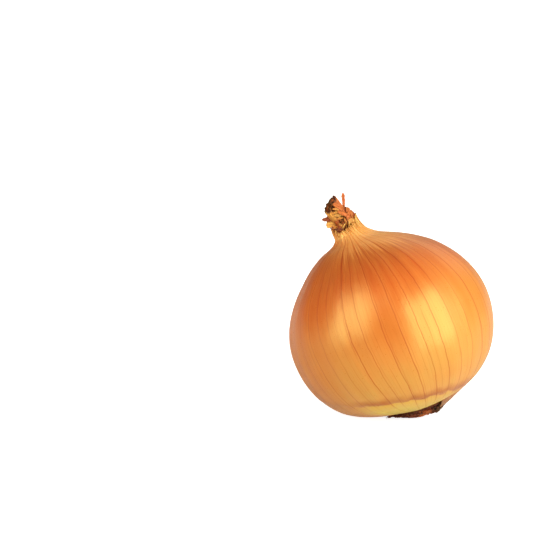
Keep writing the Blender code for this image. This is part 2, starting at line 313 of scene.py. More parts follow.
@dataclass
class MeshDraft:
    """The points, faces and surface coordinates of a piece, gathered before it is made."""

    points: list[Vector] = field(default_factory=list)
    faces: list[tuple[int, ...]] = field(default_factory=list)
    marks: dict[Layer, list[Pair]] = field(default_factory=dict)

    def add_face(self, corners: Sequence[int], marks: dict[Layer, Sequence[Pair]]) -> None:
        """Adds one face and the surface coordinates of its corners.

        Args:
            corners: The numbers of its points, in order.
            marks: For each layer, a coordinate pair for each corner.
        """
        self.faces.append(tuple(corners))
        for layer, pairs in marks.items():
            self.marks.setdefault(layer, []).extend(pairs)

    def add_rows(
        self, rows: Sequence[Sequence[Vector]], marks: dict[Layer, Sequence[Sequence[Pair]]]
    ) -> list[list[int]]:
        """Adds rings of points with a quad between each four.

        Args:
            rows: The points, ring by ring.
            marks: For each layer, a grid of coordinate pairs, with one more column than the rings have.

        Returns:
            The points' numbers, ring by ring.
        """
        first = len(self.points)
        width = len(rows[0])
        for row in rows:
            self.points.extend(row)
        numbers = [[first + i * width + j for j in range(width)] for i in range(len(rows))]
        for i in range(len(rows) - 1):
            for j in range(width):
                k = (j + 1) % width
                corners = (numbers[i][j], numbers[i][k], numbers[i + 1][k], numbers[i + 1][j])
                self.add_face(corners, {
                    layer: (grid[i][j], grid[i][j + 1], grid[i + 1][j + 1], grid[i + 1][j])
                    for layer, grid in marks.items()
                })
        return numbers

    def add_cap(self, ring: Sequence[int], tip: Vector, marks: dict[Layer, Pair], up: bool) -> None:
        """Closes a ring with a fan of faces.

        Args:
            ring: The numbers of the ring's points.
            tip: The point in the middle.
            marks: For each layer, the one coordinate pair of the whole cap.
            up: Whether the cap closes the last ring and not the first.
        """
        middle = len(self.points)
        self.points.append(tip)
        for j, corner in enumerate(ring):
            after = ring[(j + 1) % len(ring)]
            corners = (corner, after, middle) if up else (after, corner, middle)
            self.add_face(corners, {layer: (pair,) * 3 for layer, pair in marks.items()})

    def add_tube(self, path: Sequence[Vector], widths: Sequence[float], sides: int, tone: float) -> None:
        """Adds a closed round stalk along a path.

        Args:
            path: The points of its middle line.
            widths: Its radius at each of them.
            sides: How many sides it has.
            tone: The colour tone of the whole stalk, from 0 to 1.
        """
        rows: list[list[Vector]] = []
        right = (path[1] - path[0]).orthogonal().normalized()
        for i, (centre, width) in enumerate(zip(path, widths)):
            forward = (path[min(i + 1, len(path) - 1)] - path[max(i - 1, 0)]).normalized()
            right = (right - forward * right.dot(forward)).normalized()
            up = forward.cross(right)
            turns = (math.tau * k / sides for k in range(sides))
            rows.append([centre + (right * math.cos(a) + up * math.sin(a)) * width for a in turns])
        shares = [i / (len(path) - 1) for i in range(len(path))]
        length = sum((b - a).length for a, b in zip(path, path[1:])) / MM
        strand = tone * 40  # The tone sets the stalks' fibres apart.
        marks = {
            Layer.TONE: [[(tone, share)] * (sides + 1) for share in shares],
            Layer.STRAND: [[(strand + k / sides, share * length) for k in range(sides + 1)] for share in shares],
        }
        numbers = self.add_rows(rows, marks)
        for ring, tip, share, up in ((numbers[0], path[0], 0.0, False), (numbers[-1], path[-1], 1.0, True)):
            self.add_cap(ring, tip, {Layer.TONE: (tone, share), Layer.STRAND: (strand, share * length)}, up)

    def add_lump(self, rows: list[list[Vector]], ends: tuple[Vector, Vector], tone: Pair, strand: Pair) -> None:
        """Adds a closed lump of rings in one tone.

        Args:
            rows: Its points, ring by ring.
            ends: The middle points of its first cap and its last one.
            tone: Its colour tone and how worn it is.
            strand: How far its fibres go on from column to column and from ring to ring.
        """
        columns = range(len(rows[0]) + 1)
        numbers = self.add_rows(rows, {
            Layer.TONE: [[tone] * len(columns)] * len(rows),
            Layer.STRAND: [[(j * strand[0], i * strand[1]) for j in columns] for i in range(len(rows))],
        })
        for ring, tip, up in ((numbers[0], ends[0], False), (numbers[-1], ends[1], True)):
            self.add_cap(ring, tip, {Layer.TONE: tone, Layer.STRAND: (0.0, 0.0)}, up)

    def add_sheet(self, steps: int, across: int, spot: Callable[[int, int], Spot]) -> None:
        """Adds a closed thin sheet.

        Args:
            steps: How many steps it has along.
            across: How many steps it has across.
            spot: Gives the sheet's place at a step along and a step across.
        """
        grid = [[spot(i, j) for j in range(across + 1)] for i in range(steps + 1)]
        rows = [[s.outer for s in row] + [s.inner for s in reversed(row)] for row in grid]
        marks = {layer: [[s.marks[layer] for s in row] for row in grid] for layer in grid[0][0].marks}
        looped = {layer: [row + row[::-1] + row[:1] for row in found] for layer, found in marks.items()}
        numbers = self.add_rows(rows, looped)
        for end, order in ((0, -1), (-1, 1)):
            ring = numbers[end]
            for j in range(across):
                corners = (ring[j], ring[j + 1], ring[-2 - j], ring[-1 - j])
                pairs = {
                    layer: (found[end][j], found[end][j + 1], found[end][j + 1], found[end][j])
                    for layer, found in marks.items()
                }
                self.add_face(corners[::order], {layer: pair[::order] for layer, pair in pairs.items()})

    def make(self, name: str, slot: Slot, material: bpy.types.Material, replaced: str) -> None:
        """Makes the piece, lays it down, and has it ride on the onion's body.

        Args:
            name: The piece's name.
            slot: Not used.
            material: Its finish.
            replaced: The frame's node that it stands for.
        """
        mesh = bpy.data.meshes.new(name)
        mesh.from_pydata(self.points, [], self.faces)
        for layer, pairs in self.marks.items():
            mesh.uv_layers.new(name=layer.value).data.foreach_set("uv", [v for pair in pairs for v in pair])
        mesh.materials.append(material)
        mesh.transform(Lie().matrix())
        for corner in mesh.vertices:
            corner.co.z = max(corner.co.z, 0.0)
        mesh.shade_smooth()
        mesh.update()
        piece = bpy.data.objects.new(name, mesh)
        bpy.context.scene.collection.objects.link(piece)
        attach(piece, BODY)
        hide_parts(replaced)
        log.info("%s: %d points, %d faces", name, len(mesh.vertices), len(mesh.polygons))


class NodeSheet:
    """A short way to add and link the nodes of a material or a group."""

    def __init__(self, tree: bpy.types.NodeTree) -> None:
        """Starts on a tree of nodes."""
        self.tree = tree

    def add(self, kind: str, **settings: object) -> bpy.types.Node:
        """Adds a node.

        Args:
            kind: The node's Blender type.
            **settings: Its properties.

        Returns:
            The node.
        """
        node = self.tree.nodes.new(kind)
        for key, value in settings.items():
            setattr(node, key, value)
        return node

    def feed(self, socket: Socket, value: Value) -> None:
        """Links another node's output to the socket, or sets the socket's own value.

        Args:
            socket: The socket.
            value: What it takes.
        """
        if isinstance(value, Socket):
            self.tree.links.new(value, socket)
        else:
            socket.default_value = value

    def math(self, operation: str, *values: Value) -> Socket:
        """The result of a Math node.

        Args:
            operation: What it does.
            *values: What it does it to.

        Returns:
            The result.
        """
        node = self.add("ShaderNodeMath", operation=operation)
        for socket, value in zip(node.inputs, values):
            self.feed(socket, value)
        return node.outputs[0]

    def times(self, first: Value, second: Value) -> Socket:
        """The product of two values."""
        return self.math("MULTIPLY", first, second)

    def plus(self, first: Value, second: Value) -> Socket:
        """The sum of two values."""
        return self.math("ADD", first, second)

    def minus(self, first: Value, second: Value) -> Socket:
        """The first value less the second."""
        return self.math("SUBTRACT", first, second)

    def centred(self, value: Value, width: Value) -> Socket:
        """A value from 0 to 1, spread over this width about zero."""
        return self.times(self.minus(value, 0.5), width)

    def rise(self, value: Value, low: Value, high: Value, before: Value = 0.0, after: Value = 1.0) -> Socket:
        """A soft step of the value.

        Args:
            value: What is measured.
            low: Where the step starts.
            high: Where it ends.
            before: The result before it.
            after: The result after it.

        Returns:
            The step's result.
        """
        node = self.add("ShaderNodeMapRange", interpolation_type="SMOOTHSTEP")
        names = ("Value", "From Min", "From Max", "To Min", "To Max")
        for key, found in zip(names, (value, low, high, before, after)):
            self.feed(node.inputs[key], found)
        return node.outputs["Result"]

    def mix(self, mask: Value, below: Value, above: Value, blend: str = "MIX") -> Socket:
        """A mix of two colours.

        Args:
            mask: How much of the second shows, from 0 to 1.
            below: The first colour.
            above: The second colour.
            blend: How the second is laid over the first.

        Returns:
            The mixed colour.
        """
        node = self.add("ShaderNodeMix", data_type="RGBA", blend_type=blend)
        first, second = (socket for socket in node.inputs if socket.type == "RGBA")
        for socket, value in ((node.inputs["Factor"], mask), (first, below), (second, above)):
            self.feed(socket, value)
        return next(socket for socket in node.outputs if socket.type == "RGBA")

    def ramp(self, value: Value, stops: Iterable[tuple[float, str]]) -> Socket:
        """The colour of a ramp at the value.

        Args:
            value: Where on the ramp, from 0 to 1.
            stops: The ramp's places and hex colours, in order.

        Returns:
            The colour.
        """
        node = self.add("ShaderNodeValToRGB")
        elements = node.color_ramp.elements
        for i, (place, code) in enumerate(stops):
            stop = elements[i] if i < 2 else elements.new(place)
            stop.position = place
            stop.color = paint(code)
        self.feed(node.inputs[0], value)
        return node.outputs["Color"]

    def noise(self, vector: Socket, scale: Value, detail: float = 3.0, rough: float = 0.5) -> Socket:
        """Noise from 0 to 1 over the vector.

        Args:
            vector: Where in the noise.
            scale: How fine it is.
            detail: How many finer layers it has.
            rough: How strong they are.

        Returns:
            The noise.
        """
        node = self.add("ShaderNodeTexNoise")
        for key, value in (("Vector", vector), ("Scale", scale), ("Detail", detail), ("Roughness", rough)):
            self.feed(node.inputs[key], value)
        return node.outputs["Fac"]

    def vector(self, x: Value, y: Value, z: Value = 0.0) -> Socket:
        """A vector of three values.

        Args:
            x: The first value.
            y: The second value.
            z: The third value.

        Returns:
            The vector.
        """
        node = self.add("ShaderNodeCombineXYZ")
        for socket, value in zip(node.inputs, (x, y, z)):
            self.feed(socket, value)
        return node.outputs[0]

    def layer(self, layer: Layer) -> tuple[Socket, Socket]:
        """The two coordinates of a piece's surface layer.

        Args:
            layer: The layer.

        Returns:
            Its first and its second coordinate.
        """
        split = self.add("ShaderNodeSeparateXYZ")
        self.feed(split.inputs[0], self.add("ShaderNodeUVMap", uv_map=layer.value).outputs[0])
        return split.outputs[0], split.outputs[1]

    def place(self) -> Socket:
        """Where the point is on the object."""
        return self.add("ShaderNodeTexCoord").outputs["Object"]

    def effect(self, group: bpy.types.NodeTree, **values: Value) -> bpy.types.Node:
        """Places a node group.

        Args:
            group: The group.
            **values: Its inputs.

        Returns:
            The group's node.
        """
        node = self.add("ShaderNodeGroup", node_tree=group)
        for key, value in values.items():
            self.feed(node.inputs[key], value)
        return node


def effect_group(
    name: str, takes: dict[str, float], gives: Sequence[str], build: Callable[[NodeSheet, dict], dict]
) -> bpy.types.NodeTree:
    """A shader node group with named inputs and outputs, built once.

    Args:
        name: The group's name.
        takes: Its inputs and their usual values.
        gives: The names of its outputs.
        build: Adds the nodes, given the sheet and the inputs' sockets, and returns the outputs' sockets.

    Returns:
        The group.
    """
    known = bpy.data.node_groups.get(name)
    if known:
        return known
    group = bpy.data.node_groups.new(name, "ShaderNodeTree")
    for key, usual in takes.items():
        kind = "NodeSocketVector" if key == "Vector" else "NodeSocketFloat"
        socket = group.interface.new_socket(key, in_out="INPUT", socket_type=kind)
        if kind == "NodeSocketFloat":
            socket.default_value = usual
    for key in gives:
        group.interface.new_socket(key, in_out="OUTPUT", socket_type="NodeSocketFloat")
    sheet = NodeSheet(group)
    start = sheet.add("NodeGroupInput")
    found = build(sheet, {key: start.outputs[key] for key in takes})
    end = sheet.add("NodeGroupOutput")
    for key in gives:
        sheet.feed(end.inputs[key], found[key])
    return group


def vein_lines() -> bpy.types.NodeTree:
    """The group that draws thin wandering lines along the skin, each with its own place and strength.

    Returns:
        The group.
    """
    apart, sways, breaks = 3.7, (1.1, 3.0), (0.7, 2.0)
    core, widths, faint = 0.35, (0.38, 0.62), (0.3, 0.6)

    def build(sheet: NodeSheet, taken: dict) -> dict:
        """Adds the group's nodes.

        Args:
            sheet: The group's nodes.
            taken: The sockets of its inputs.

        Returns:
            The sockets of its outputs.
        """
        cell = sheet.math("ROUND", taken["Turn"])
        own = sheet.plus(sheet.math("MODULO", cell, taken["Count"]), taken["Seed"])
        chance = sheet.add("ShaderNodeTexWhiteNoise", noise_dimensions="1D")
        sheet.feed(chance.inputs["W"], own)
        parts = sheet.add("ShaderNodeSeparateColor")
        sheet.feed(parts.inputs[0], chance.outputs["Color"])
        shift, force, girth = parts.outputs
        track = sheet.vector(sheet.times(own, apart), taken["Along"])
        sway = sheet.centred(sheet.noise(track, *sways), taken["Sway"])
        wanders = sheet.plus(sheet.centred(shift, taken["Jitter"]), sway)
        off = sheet.minus(sheet.minus(taken["Turn"], cell), wanders)
        away = sheet.times(sheet.math("ABSOLUTE", off), taken["Spacing"])
        half = sheet.times(taken["Width"], sheet.rise(girth, 0.0, 1.0, *widths))
        line = sheet.rise(away, sheet.times(half, core), half, 1.0, 0.0)
        patch = sheet.rise(sheet.noise(track, *breaks), *faint, taken["Fading"], 1.0)
        strength = sheet.rise(force, 0.0, 0.8, taken["Weakest"], 1.0)
        return {"Line": sheet.times(sheet.times(line, patch), strength)}

    takes = {
        "Turn": 0.0, "Along": 0.0, "Count": 36.0, "Spacing": 5.0, "Width": 0.5, "Sway": 0.15,
        "Jitter": 0.5, "Fading": 0.6, "Weakest": 0.5, "Seed": 0.5,
    }
    return effect_group("vein lines", takes, ["Line"], build)


def dry_fibres() -> bpy.types.NodeTree:
    """The group that draws fine fibres, long along the vector's third axis.

    Returns:
        The group.
    """
    detail = (4.0, 0.62)

    def build(sheet: NodeSheet, taken: dict) -> dict:
        """Adds the group's nodes.

        Args:
            sheet: The group's nodes.
            taken: The sockets of its inputs.

        Returns:
            The sockets of its outputs.
        """
        found = sheet.noise(taken["Vector"], taken["Scale"], *detail)
        low, high = sheet.minus(0.5, taken["Softness"]), sheet.plus(0.5, taken["Softness"])
        return {"Fibre": sheet.rise(found, low, high), "Grain": found}

    takes = {"Vector": 0.0, "Scale": 1.0, "Softness": 0.2}
    return effect_group("dry fibres", takes, ["Fibre", "Grain"], build)


def patches() -> bpy.types.NodeTree:
    """The group that gives soft patches of a stated size in millimetres.

    Returns:
        The group.
    """
    detail = (3.0, 0.55)

    def build(sheet: NodeSheet, taken: dict) -> dict:
        """Adds the group's nodes.

        Args:
            sheet: The group's nodes.
            taken: The sockets of its inputs.

        Returns:
            The sockets of its outputs.
        """
        found = sheet.noise(taken["Vector"], sheet.math("DIVIDE", 1 / MM, taken["Size"]), *detail)
        return {"Patch": sheet.rise(found, taken["Start"], sheet.plus(taken["Start"], taken["Blur"]))}

    takes = {"Vector": 0.0, "Size": 10.0, "Start": 0.45, "Blur": 0.25}
    return effect_group("patches", takes, ["Patch"], build)


@dataclass(frozen=True)
class Stain:
    """Soft patches of another colour, with their size in millimetres."""

    size: float
    start: float
    blur: float
    strength: float
    code: str

    def lay(self, sheet: NodeSheet, where: Socket, colour: Value) -> Socket:
        """Lays the patches over a colour."""
        found = sheet.effect(patches(), Vector=where, Size=self.size, Start=self.start, Blur=self.blur)
        return sheet.mix(sheet.times(found.outputs["Patch"], self.strength), colour, paint(self.code))


@dataclass(frozen=True)
class DryFinish:
    """What every dry surface of the onion shares: the shader's own settings.

    In every finish a rise is where a soft step starts and ends, then its value before and after it.
    """

    name: str
    ior: float = 1.5
    specular_level: float = 0.5
    specular_tint: Colour = (1.0, 1.0, 1.0, 1.0)
    subsurface: float = 0.0
    subsurface_reach: float = 1.0 * MM
    subsurface_radius: tuple[float, float, float] = (1.0, 0.45, 0.15)

    def start(self) -> tuple[bpy.types.Material, NodeSheet, bpy.types.Node]:
        """Makes the material with its shader.

        Returns:
            The material, the sheet of its nodes, and the shader's node.
        """
        made = bpy.data.materials.new(self.name)
        made.use_nodes = True
        shader = made.node_tree.nodes["Principled BSDF"]
        shader.inputs["IOR"].default_value = self.ior
        shader.inputs["Specular IOR Level"].default_value = self.specular_level
        shader.inputs["Specular Tint"].default_value = self.specular_tint
        shader.inputs["Subsurface Weight"].default_value = self.subsurface
        shader.inputs["Subsurface Scale"].default_value = self.subsurface_reach
        shader.inputs["Subsurface Radius"].default_value = self.subsurface_radius
        return made, NodeSheet(made.node_tree), shader

    def dress(
        self, sheet: NodeSheet, shader: bpy.types.Node, colour: Socket, roughness: Socket, height: Socket
    ) -> None:
        """Gives the shader its colour, its roughness and its relief.

        Args:
            sheet: The material's nodes.
            shader: The shader's node.
            colour: The colour.
            roughness: The roughness.
            height: How far the surface stands out, in metres.
        """
        bump = sheet.add("ShaderNodeBump")
        bump.inputs["Strength"].default_value = 1.0
        bump.inputs["Distance"].default_value = 1.0
        sheet.feed(bump.inputs["Height"], height)
        sheet.feed(shader.inputs["Base Color"], colour)
        sheet.feed(shader.inputs["Roughness"], roughness)
        sheet.feed(shader.inputs["Normal"], bump.outputs[0])


@dataclass(frozen=True)
class VeinSet:
    """One set of lines along the skin: how many for each main vein, and how wide in millimetres."""

    times: int
    width: float
    sway: float
    strength: float
    fading: float
    weakest: float


@dataclass(frozen=True)
class Ribbons:
    """Fibres drawn out from neck to root: how fine round the onion and along it, and how soft."""

    fine: float
    length: float
    softness: float


@dataclass(frozen=True)
class SkinPlace:
    """What the skin's nodes read at each point of the surface.

    The turn is in vein spacings and as its cosine (across) and sine (beside). The way along is in
    centimetres. The veins' spacing and the height over the torn edge are in millimetres.
    """

    turn: Socket
    along: Socket
    level: Socket
    spacing: Socket
    across: Socket
    beside: Socket
    edge: Socket
    bare: Socket
    where: Socket


@dataclass(frozen=True)
class SkinFinish(DryFinish):
    """The thin golden skin: satin, with veins from neck to root and a paler layer bare at the roots.

    The bands of colour stand at heights in millimetres.
    """

    vein_count: int = 38
    vein_sets: tuple[VeinSet, ...] = (
        VeinSet(1, 0.50, 0.22, 1.0, 0.72, 0.66),
        VeinSet(2, 0.36, 0.34, 0.5, 0.1, 0.0),
        VeinSet(7, 0.26, 0.5, 0.26, 0.1, 0.1),
    )
    vein_tint: str = "DC8458"
    vein_fade: Rise = (0.84, 0.97, 1.0, 0.35)
    vein_near_edge: Rise = (-3.5, 0.5, 0.35, 0.9)
    vein_relief: float = 0.025 * MM
    vein_dullness: float = 0.1
    bands: Stops = (
        (-36.6, "34160A"), (-35.2, "5E2A16"), (-34.2, "86381A"), (-33.4, "9E4A22"), (-32.4, "D08C46"),
        (-27.0, "C69346"), (-18.0, "C0873D"), (-8.0, "BC7732"), (0.0, "BA6726"), (8.0, "BE5A1E"),
        (16.0, "BC4C19"), (23.0, "A83A12"), (28.0, "9A3610"), (30.2, "A64E20"), (32.2, "CC864A"),
        (35.0, "E0A766"), (38.0, "E6B16A"), (39.8, "D6984E"), (40.8, "9A5424"), (41.3, "6A3212"),
        (43.0, "9A6530"),
    )
    band_spread: Rise = (0.6, 0.8, 0.0, 0.2)
    broad: Stain = Stain(26.0, 0.42, 0.24, 0.26, "C8501A")
    specks: Stain = Stain(0.9, 0.8, 0.05, 0.4, "6A2E10")
    low_part: Rise = (0.5, 0.75, 1.0, 0.0)
    above_base: Rise = (0.06, 0.12)
    # Painted light: the lower right side is made yellower, as where the key light falls.
    painted_light_right_side: Rise = (0.1, 0.9, 0.0, 0.3)
    painted_light_right_colour: str = "D8A040"
    # Painted shade: the left side is made darker and redder, as shade with warm reflected light.
    painted_shade_left_side: Rise = (-0.9, -0.45, 0.4, 0.0)
    painted_shade_left_colour: str = "B4480E"
    ribbons: Ribbons = Ribbons(9.0, 0.22, 0.2)
    ribbon_strength: float = 0.24
    ribbon_colour: str = "DE9444"
    streaks: Ribbons = Ribbons(30.0, 0.4, 0.25)
    streak_gather: Rise = (0.62, 0.93, 0.26, 0.62)
    streak_turn: Rise = (0.75, 0.92)
    streak_colours: tuple[str, str] = ("C66A28", "C47430")
    fine_fibres: Ribbons = Ribbons(62.0, 2.2, 0.3)
    fibre_relief: float = 0.05 * MM
    paper: tuple[float, float, float] = (2000.0, 2.0, 0.6)
    paper_relief: float = 0.024 * MM
    satin: Rise = (0.25, 0.75, 0.27, 0.37)
    edge_noise: Pair = (260.0, 3.0)
    edge_raggedness: float = 2.6
    line_foot: Rise = (-0.4, 0.5)
    line_top: Rise = (0.3, 3.8, 1.0, 0.0)
    line_noise: Pair = (90.0, 2.0)
    line_strength: Rise = (0.35, 0.55, 0.7, 1.0)
    line_where_bare: Rise = (0.0, 1.0, 0.3, 1.0)
    line_colour: str = "A44400"
    bare_rise: Rise = (-0.7, 0.35, 1.0, 0.0)
    bare_strength: float = 0.92
    bare_turn: Rise = (-5.5, -0.8)
    bare_colours: tuple[str, str] = ("D4B83E", "CE9E34")

    def material(self, form: OnionForm) -> bpy.types.Material:
        """Builds the finish.

        Args:
            form: The onion's sizes, which place the colour bands.

        Returns:
            The material.
        """
        made, sheet, shader = self.start()
        at = SkinPlace(
            *sheet.layer(Layer.VEINS), *sheet.layer(Layer.LEVEL), *sheet.layer(Layer.TURN),
            *sheet.layer(Layer.EDGE), sheet.place(),
        )
        veins = self.vein_mask(sheet, at)
        colour = self.bare_base(sheet, at, self.body_colour(sheet, at, form))
        tinted = sheet.mix(1.0, colour, paint(self.vein_tint), "MULTIPLY")
        shown = sheet.times(veins, sheet.rise(at.level, *self.vein_fade))
        shown = sheet.times(shown, sheet.rise(at.edge, *self.vein_near_edge))
        colour = self.specks.lay(sheet, at.where, sheet.mix(shown, colour, tinted))
        paper = sheet.noise(at.where, *self.paper)
        satin = sheet.plus(sheet.rise(paper, *self.satin), sheet.times(veins, self.vein_dullness))
        fibres = sheet.times(self.fibres(sheet, at, self.fine_fibres).outputs["Grain"], self.fibre_relief)
        height = sheet.plus(fibres, sheet.times(paper, self.paper_relief))
        self.dress(sheet, shader, colour, satin, sheet.plus(sheet.times(veins, self.vein_relief), height))
        return made

    def fibres(self, sheet: NodeSheet, at: SkinPlace, ribbons: Ribbons) -> bpy.types.Node:
        """Places fibres that are drawn out from neck to root.

        Args:
            sheet: The material's nodes.
            at: What they read.
            ribbons: The fibres' sizes.

        Returns:
            The node of the fibres' group.
        """
        across, beside = (sheet.times(value, ribbons.fine) for value in (at.across, at.beside))
        place = sheet.vector(across, beside, sheet.times(at.along, ribbons.length))
        return sheet.effect(dry_fibres(), Vector=place, Scale=1.0, Softness=ribbons.softness)

    def body_colour(self, sheet: NodeSheet, at: SkinPlace, form: OnionForm) -> Socket:
        """The skin's bands of colour, a painted light that makes its lower right yellower, a painted shade that makes
        its left side redder, and its streaks.

        Args:
            sheet: The material's nodes.
            at: What they read.
            form: The onion's sizes, which place the bands.

        Returns:
            The colour.
        """
        streaks = self.fibres(sheet, at, self.streaks)
        spread = sheet.centred(streaks.outputs["Grain"], sheet.rise(at.level, *self.band_spread))
        bands = [(form.level(height * MM), code) for height, code in self.bands]
        colour = self.broad.lay(sheet, at.where, sheet.ramp(sheet.plus(at.level, spread), bands))
        low = sheet.times(sheet.rise(at.level, *self.low_part), sheet.rise(at.level, *self.above_base))
        # Painted light: a yellower lower right side.
        right = sheet.times(sheet.rise(at.across, *self.painted_light_right_side), low)
        colour = sheet.mix(right, colour, paint(self.painted_light_right_colour))
        # Painted shade: a darker, redder left side.
        colour = sheet.mix(sheet.rise(at.across, *self.painted_shade_left_side), colour, paint(self.painted_shade_left_colour))
        ribbons = sheet.times(self.fibres(sheet, at, self.ribbons).outputs["Fibre"], self.ribbon_strength)
        colour = sheet.mix(ribbons, colour, paint(self.ribbon_colour))
        gathered = sheet.times(streaks.outputs["Fibre"], sheet.rise(at.level, *self.streak_gather))
        tints = (paint(code) for code in self.streak_colours)
        return sheet.mix(gathered, colour, sheet.mix(sheet.rise(at.level, *self.streak_turn), *tints))

    def bare_base(self, sheet: NodeSheet, at: SkinPlace, colour: Socket) -> Socket:
        """Paints the yellow layer that shows below the outer skin's torn edge, and that edge's brown line.

        Args:
            sheet: The material's nodes.
            at: What they read.
            colour: The colour so far.

        Returns:
            The colour with the base.
        """
        over = sheet.plus(at.edge, sheet.centred(sheet.noise(at.where, *self.edge_noise), self.edge_raggedness))
        line = sheet.times(sheet.rise(over, *self.line_foot), sheet.rise(over, *self.line_top))
        strength = sheet.rise(sheet.noise(at.where, *self.line_noise), *self.line_strength)
        strength = sheet.times(strength, sheet.rise(at.bare, *self.line_where_bare))
        colour = sheet.mix(sheet.times(line, strength), colour, paint(self.line_colour))
        below = sheet.times(sheet.rise(over, *self.bare_rise), at.bare)
        yellow = sheet.mix(sheet.rise(over, *self.bare_turn), *(paint(code) for code in self.bare_colours))
        return sheet.mix(sheet.times(below, self.bare_strength), colour, yellow)

    def vein_mask(self, sheet: NodeSheet, at: SkinPlace) -> Socket:
        """The main veins, and the finer sets between them.

        Args:
            sheet: The material's nodes.
            at: What they read.

        Returns:
            How much vein shows, from 0 to 1.
        """
        shown = None
        for veins in self.vein_sets:
            times = float(veins.times)
            lines = sheet.effect(
                vein_lines(), Turn=sheet.times(at.turn, times), Along=at.along,
                Count=self.vein_count * times, Spacing=sheet.math("DIVIDE", at.spacing, times),
                Width=veins.width, Sway=veins.sway, Fading=veins.fading, Weakest=veins.weakest,
                Seed=0.5 + 17.0 * times,
            )
            found = sheet.times(lines.outputs["Line"], veins.strength)
            shown = found if shown is None else sheet.math("MAXIMUM", shown, found)
        return shown


@dataclass(frozen=True)
class StrandFinish(DryFinish):
    """What the dry leaves and roots share: a hue for each tone, darker fibres, and stained patches."""

    hues: Stops = ()
    strand_length: float = 0.3
    strand_shift: float = 1.0
    fibre_scale: float = 3.0
    fibre_softness: float = 0.16
    fibre_strength: float = 0.4
    fibre_colour: str = "1C0E07"
    fibre_tint: float = 1.0
    fibre_relief: float = 0.3 * MM
    grain_span: Pair = (0.3, 0.7)
    dullness: Pair = (0.6, 0.85)
    stain: Stain = Stain(1.6, 0.52, 0.1, 0.4, "5A3A22")

    def tip_colour(self, sheet: NodeSheet, share: Socket, where: Socket, colour: Socket) -> Socket:
        """The colour with its tip, which each finish paints in its own way."""
        return colour

    def material(self) -> bpy.types.Material:
        """Builds the finish.

        Returns:
            The material.
        """
        made, sheet, shader = self.start()
        across, along = sheet.layer(Layer.STRAND)
        tone, share = sheet.layer(Layer.TONE)
        where = sheet.place()
        hue = sheet.ramp(tone, self.hues)
        shift = sheet.times(tone, self.strand_shift)
        strand = sheet.vector(across, sheet.times(along, self.strand_length), shift)
        fibres = sheet.effect(
            dry_fibres(), Vector=strand, Scale=self.fibre_scale, Softness=self.fibre_softness
        )
        darker = sheet.mix(self.fibre_tint, hue, paint(self.fibre_colour))
        colour = sheet.mix(sheet.times(fibres.outputs["Fibre"], self.fibre_strength), hue, darker)
        colour = self.tip_colour(sheet, share, where, self.stain.lay(sheet, where, colour))
        grain = fibres.outputs["Grain"]
        dull = sheet.rise(grain, *self.grain_span, *self.dullness)
        self.dress(sheet, shader, colour, dull, sheet.times(grain, self.fibre_relief))
        return made


@dataclass(frozen=True)
class LeafFinish(StrandFinish):
    """The dry leaf ends: tan to orange-brown, fibrous, and dark where they are cut."""

    hues: Stops = (
        (0.0, "DDB462"), (0.2, "DA9C42"), (0.42, "CC843C"), (0.6, "C4662C"), (0.8, "9C4A20"), (1.0, "5A2A12"),
    )
    strand_length: float = 0.16
    strand_shift: float = 9.0
    fibre_scale: float = 1.9
    fibre_softness: float = 0.1
    fibre_strength: float = 0.62
    fibre_colour: str = "6E3010"
    fibre_tint: float = 0.75
    fibre_relief: float = 0.25 * MM
    dullness: Pair = (0.45, 0.7)
    stain: Stain = Stain(2.6, 0.5, 0.14, 0.35, "B86428")
    wear_noise: Pair = (900.0, 2.0)
    wear_raggedness: float = 0.16
    worn: Rise = (0.89, 0.96, 0.0, 0.92)
    worn_noise: Pair = (420.0, 2.0)
    worn_turn: Rise = (0.42, 0.6)
    worn_colours: tuple[str, str] = ("4A1E0C", "4E3A14")

    def tip_colour(self, sheet: NodeSheet, share: Socket, where: Socket, colour: Socket) -> Socket:
        """Paints the dark, ragged end of the leaf.

        Args:
            sheet: The material's nodes.
            share: How far up the leaf.
            where: The place on the leaf.
            colour: The colour so far.

        Returns:
            The colour with the tip.
        """
        ragged = sheet.centred(sheet.noise(where, *self.wear_noise), self.wear_raggedness)
        turn = sheet.rise(sheet.noise(where, *self.worn_noise), *self.worn_turn)
        dark = sheet.mix(turn, *(paint(code) for code in self.worn_colours))
        return sheet.mix(sheet.rise(sheet.plus(share, ragged), *self.worn), colour, dark)


@dataclass(frozen=True)
class RootFinish(StrandFinish):
    """The dry roots and their plate: dark brown, with some orange-brown stalks and paler cut tips."""

    hues: Stops = ((0.0, "3C2E12"), (0.2, "46220E"), (0.45, "6E2A14"), (0.72, "9A4820"), (1.0, "C46C30"))
    tip: Rise = (0.93, 1.0, 0.0, 0.35)
    tip_code: str = "8A5A30"

    def tip_colour(self, sheet: NodeSheet, share: Socket, where: Socket, colour: Socket) -> Socket:
        """Paints the paler cut tip of the root."""
        return sheet.mix(sheet.rise(share, *self.tip), colour, paint(self.tip_code))


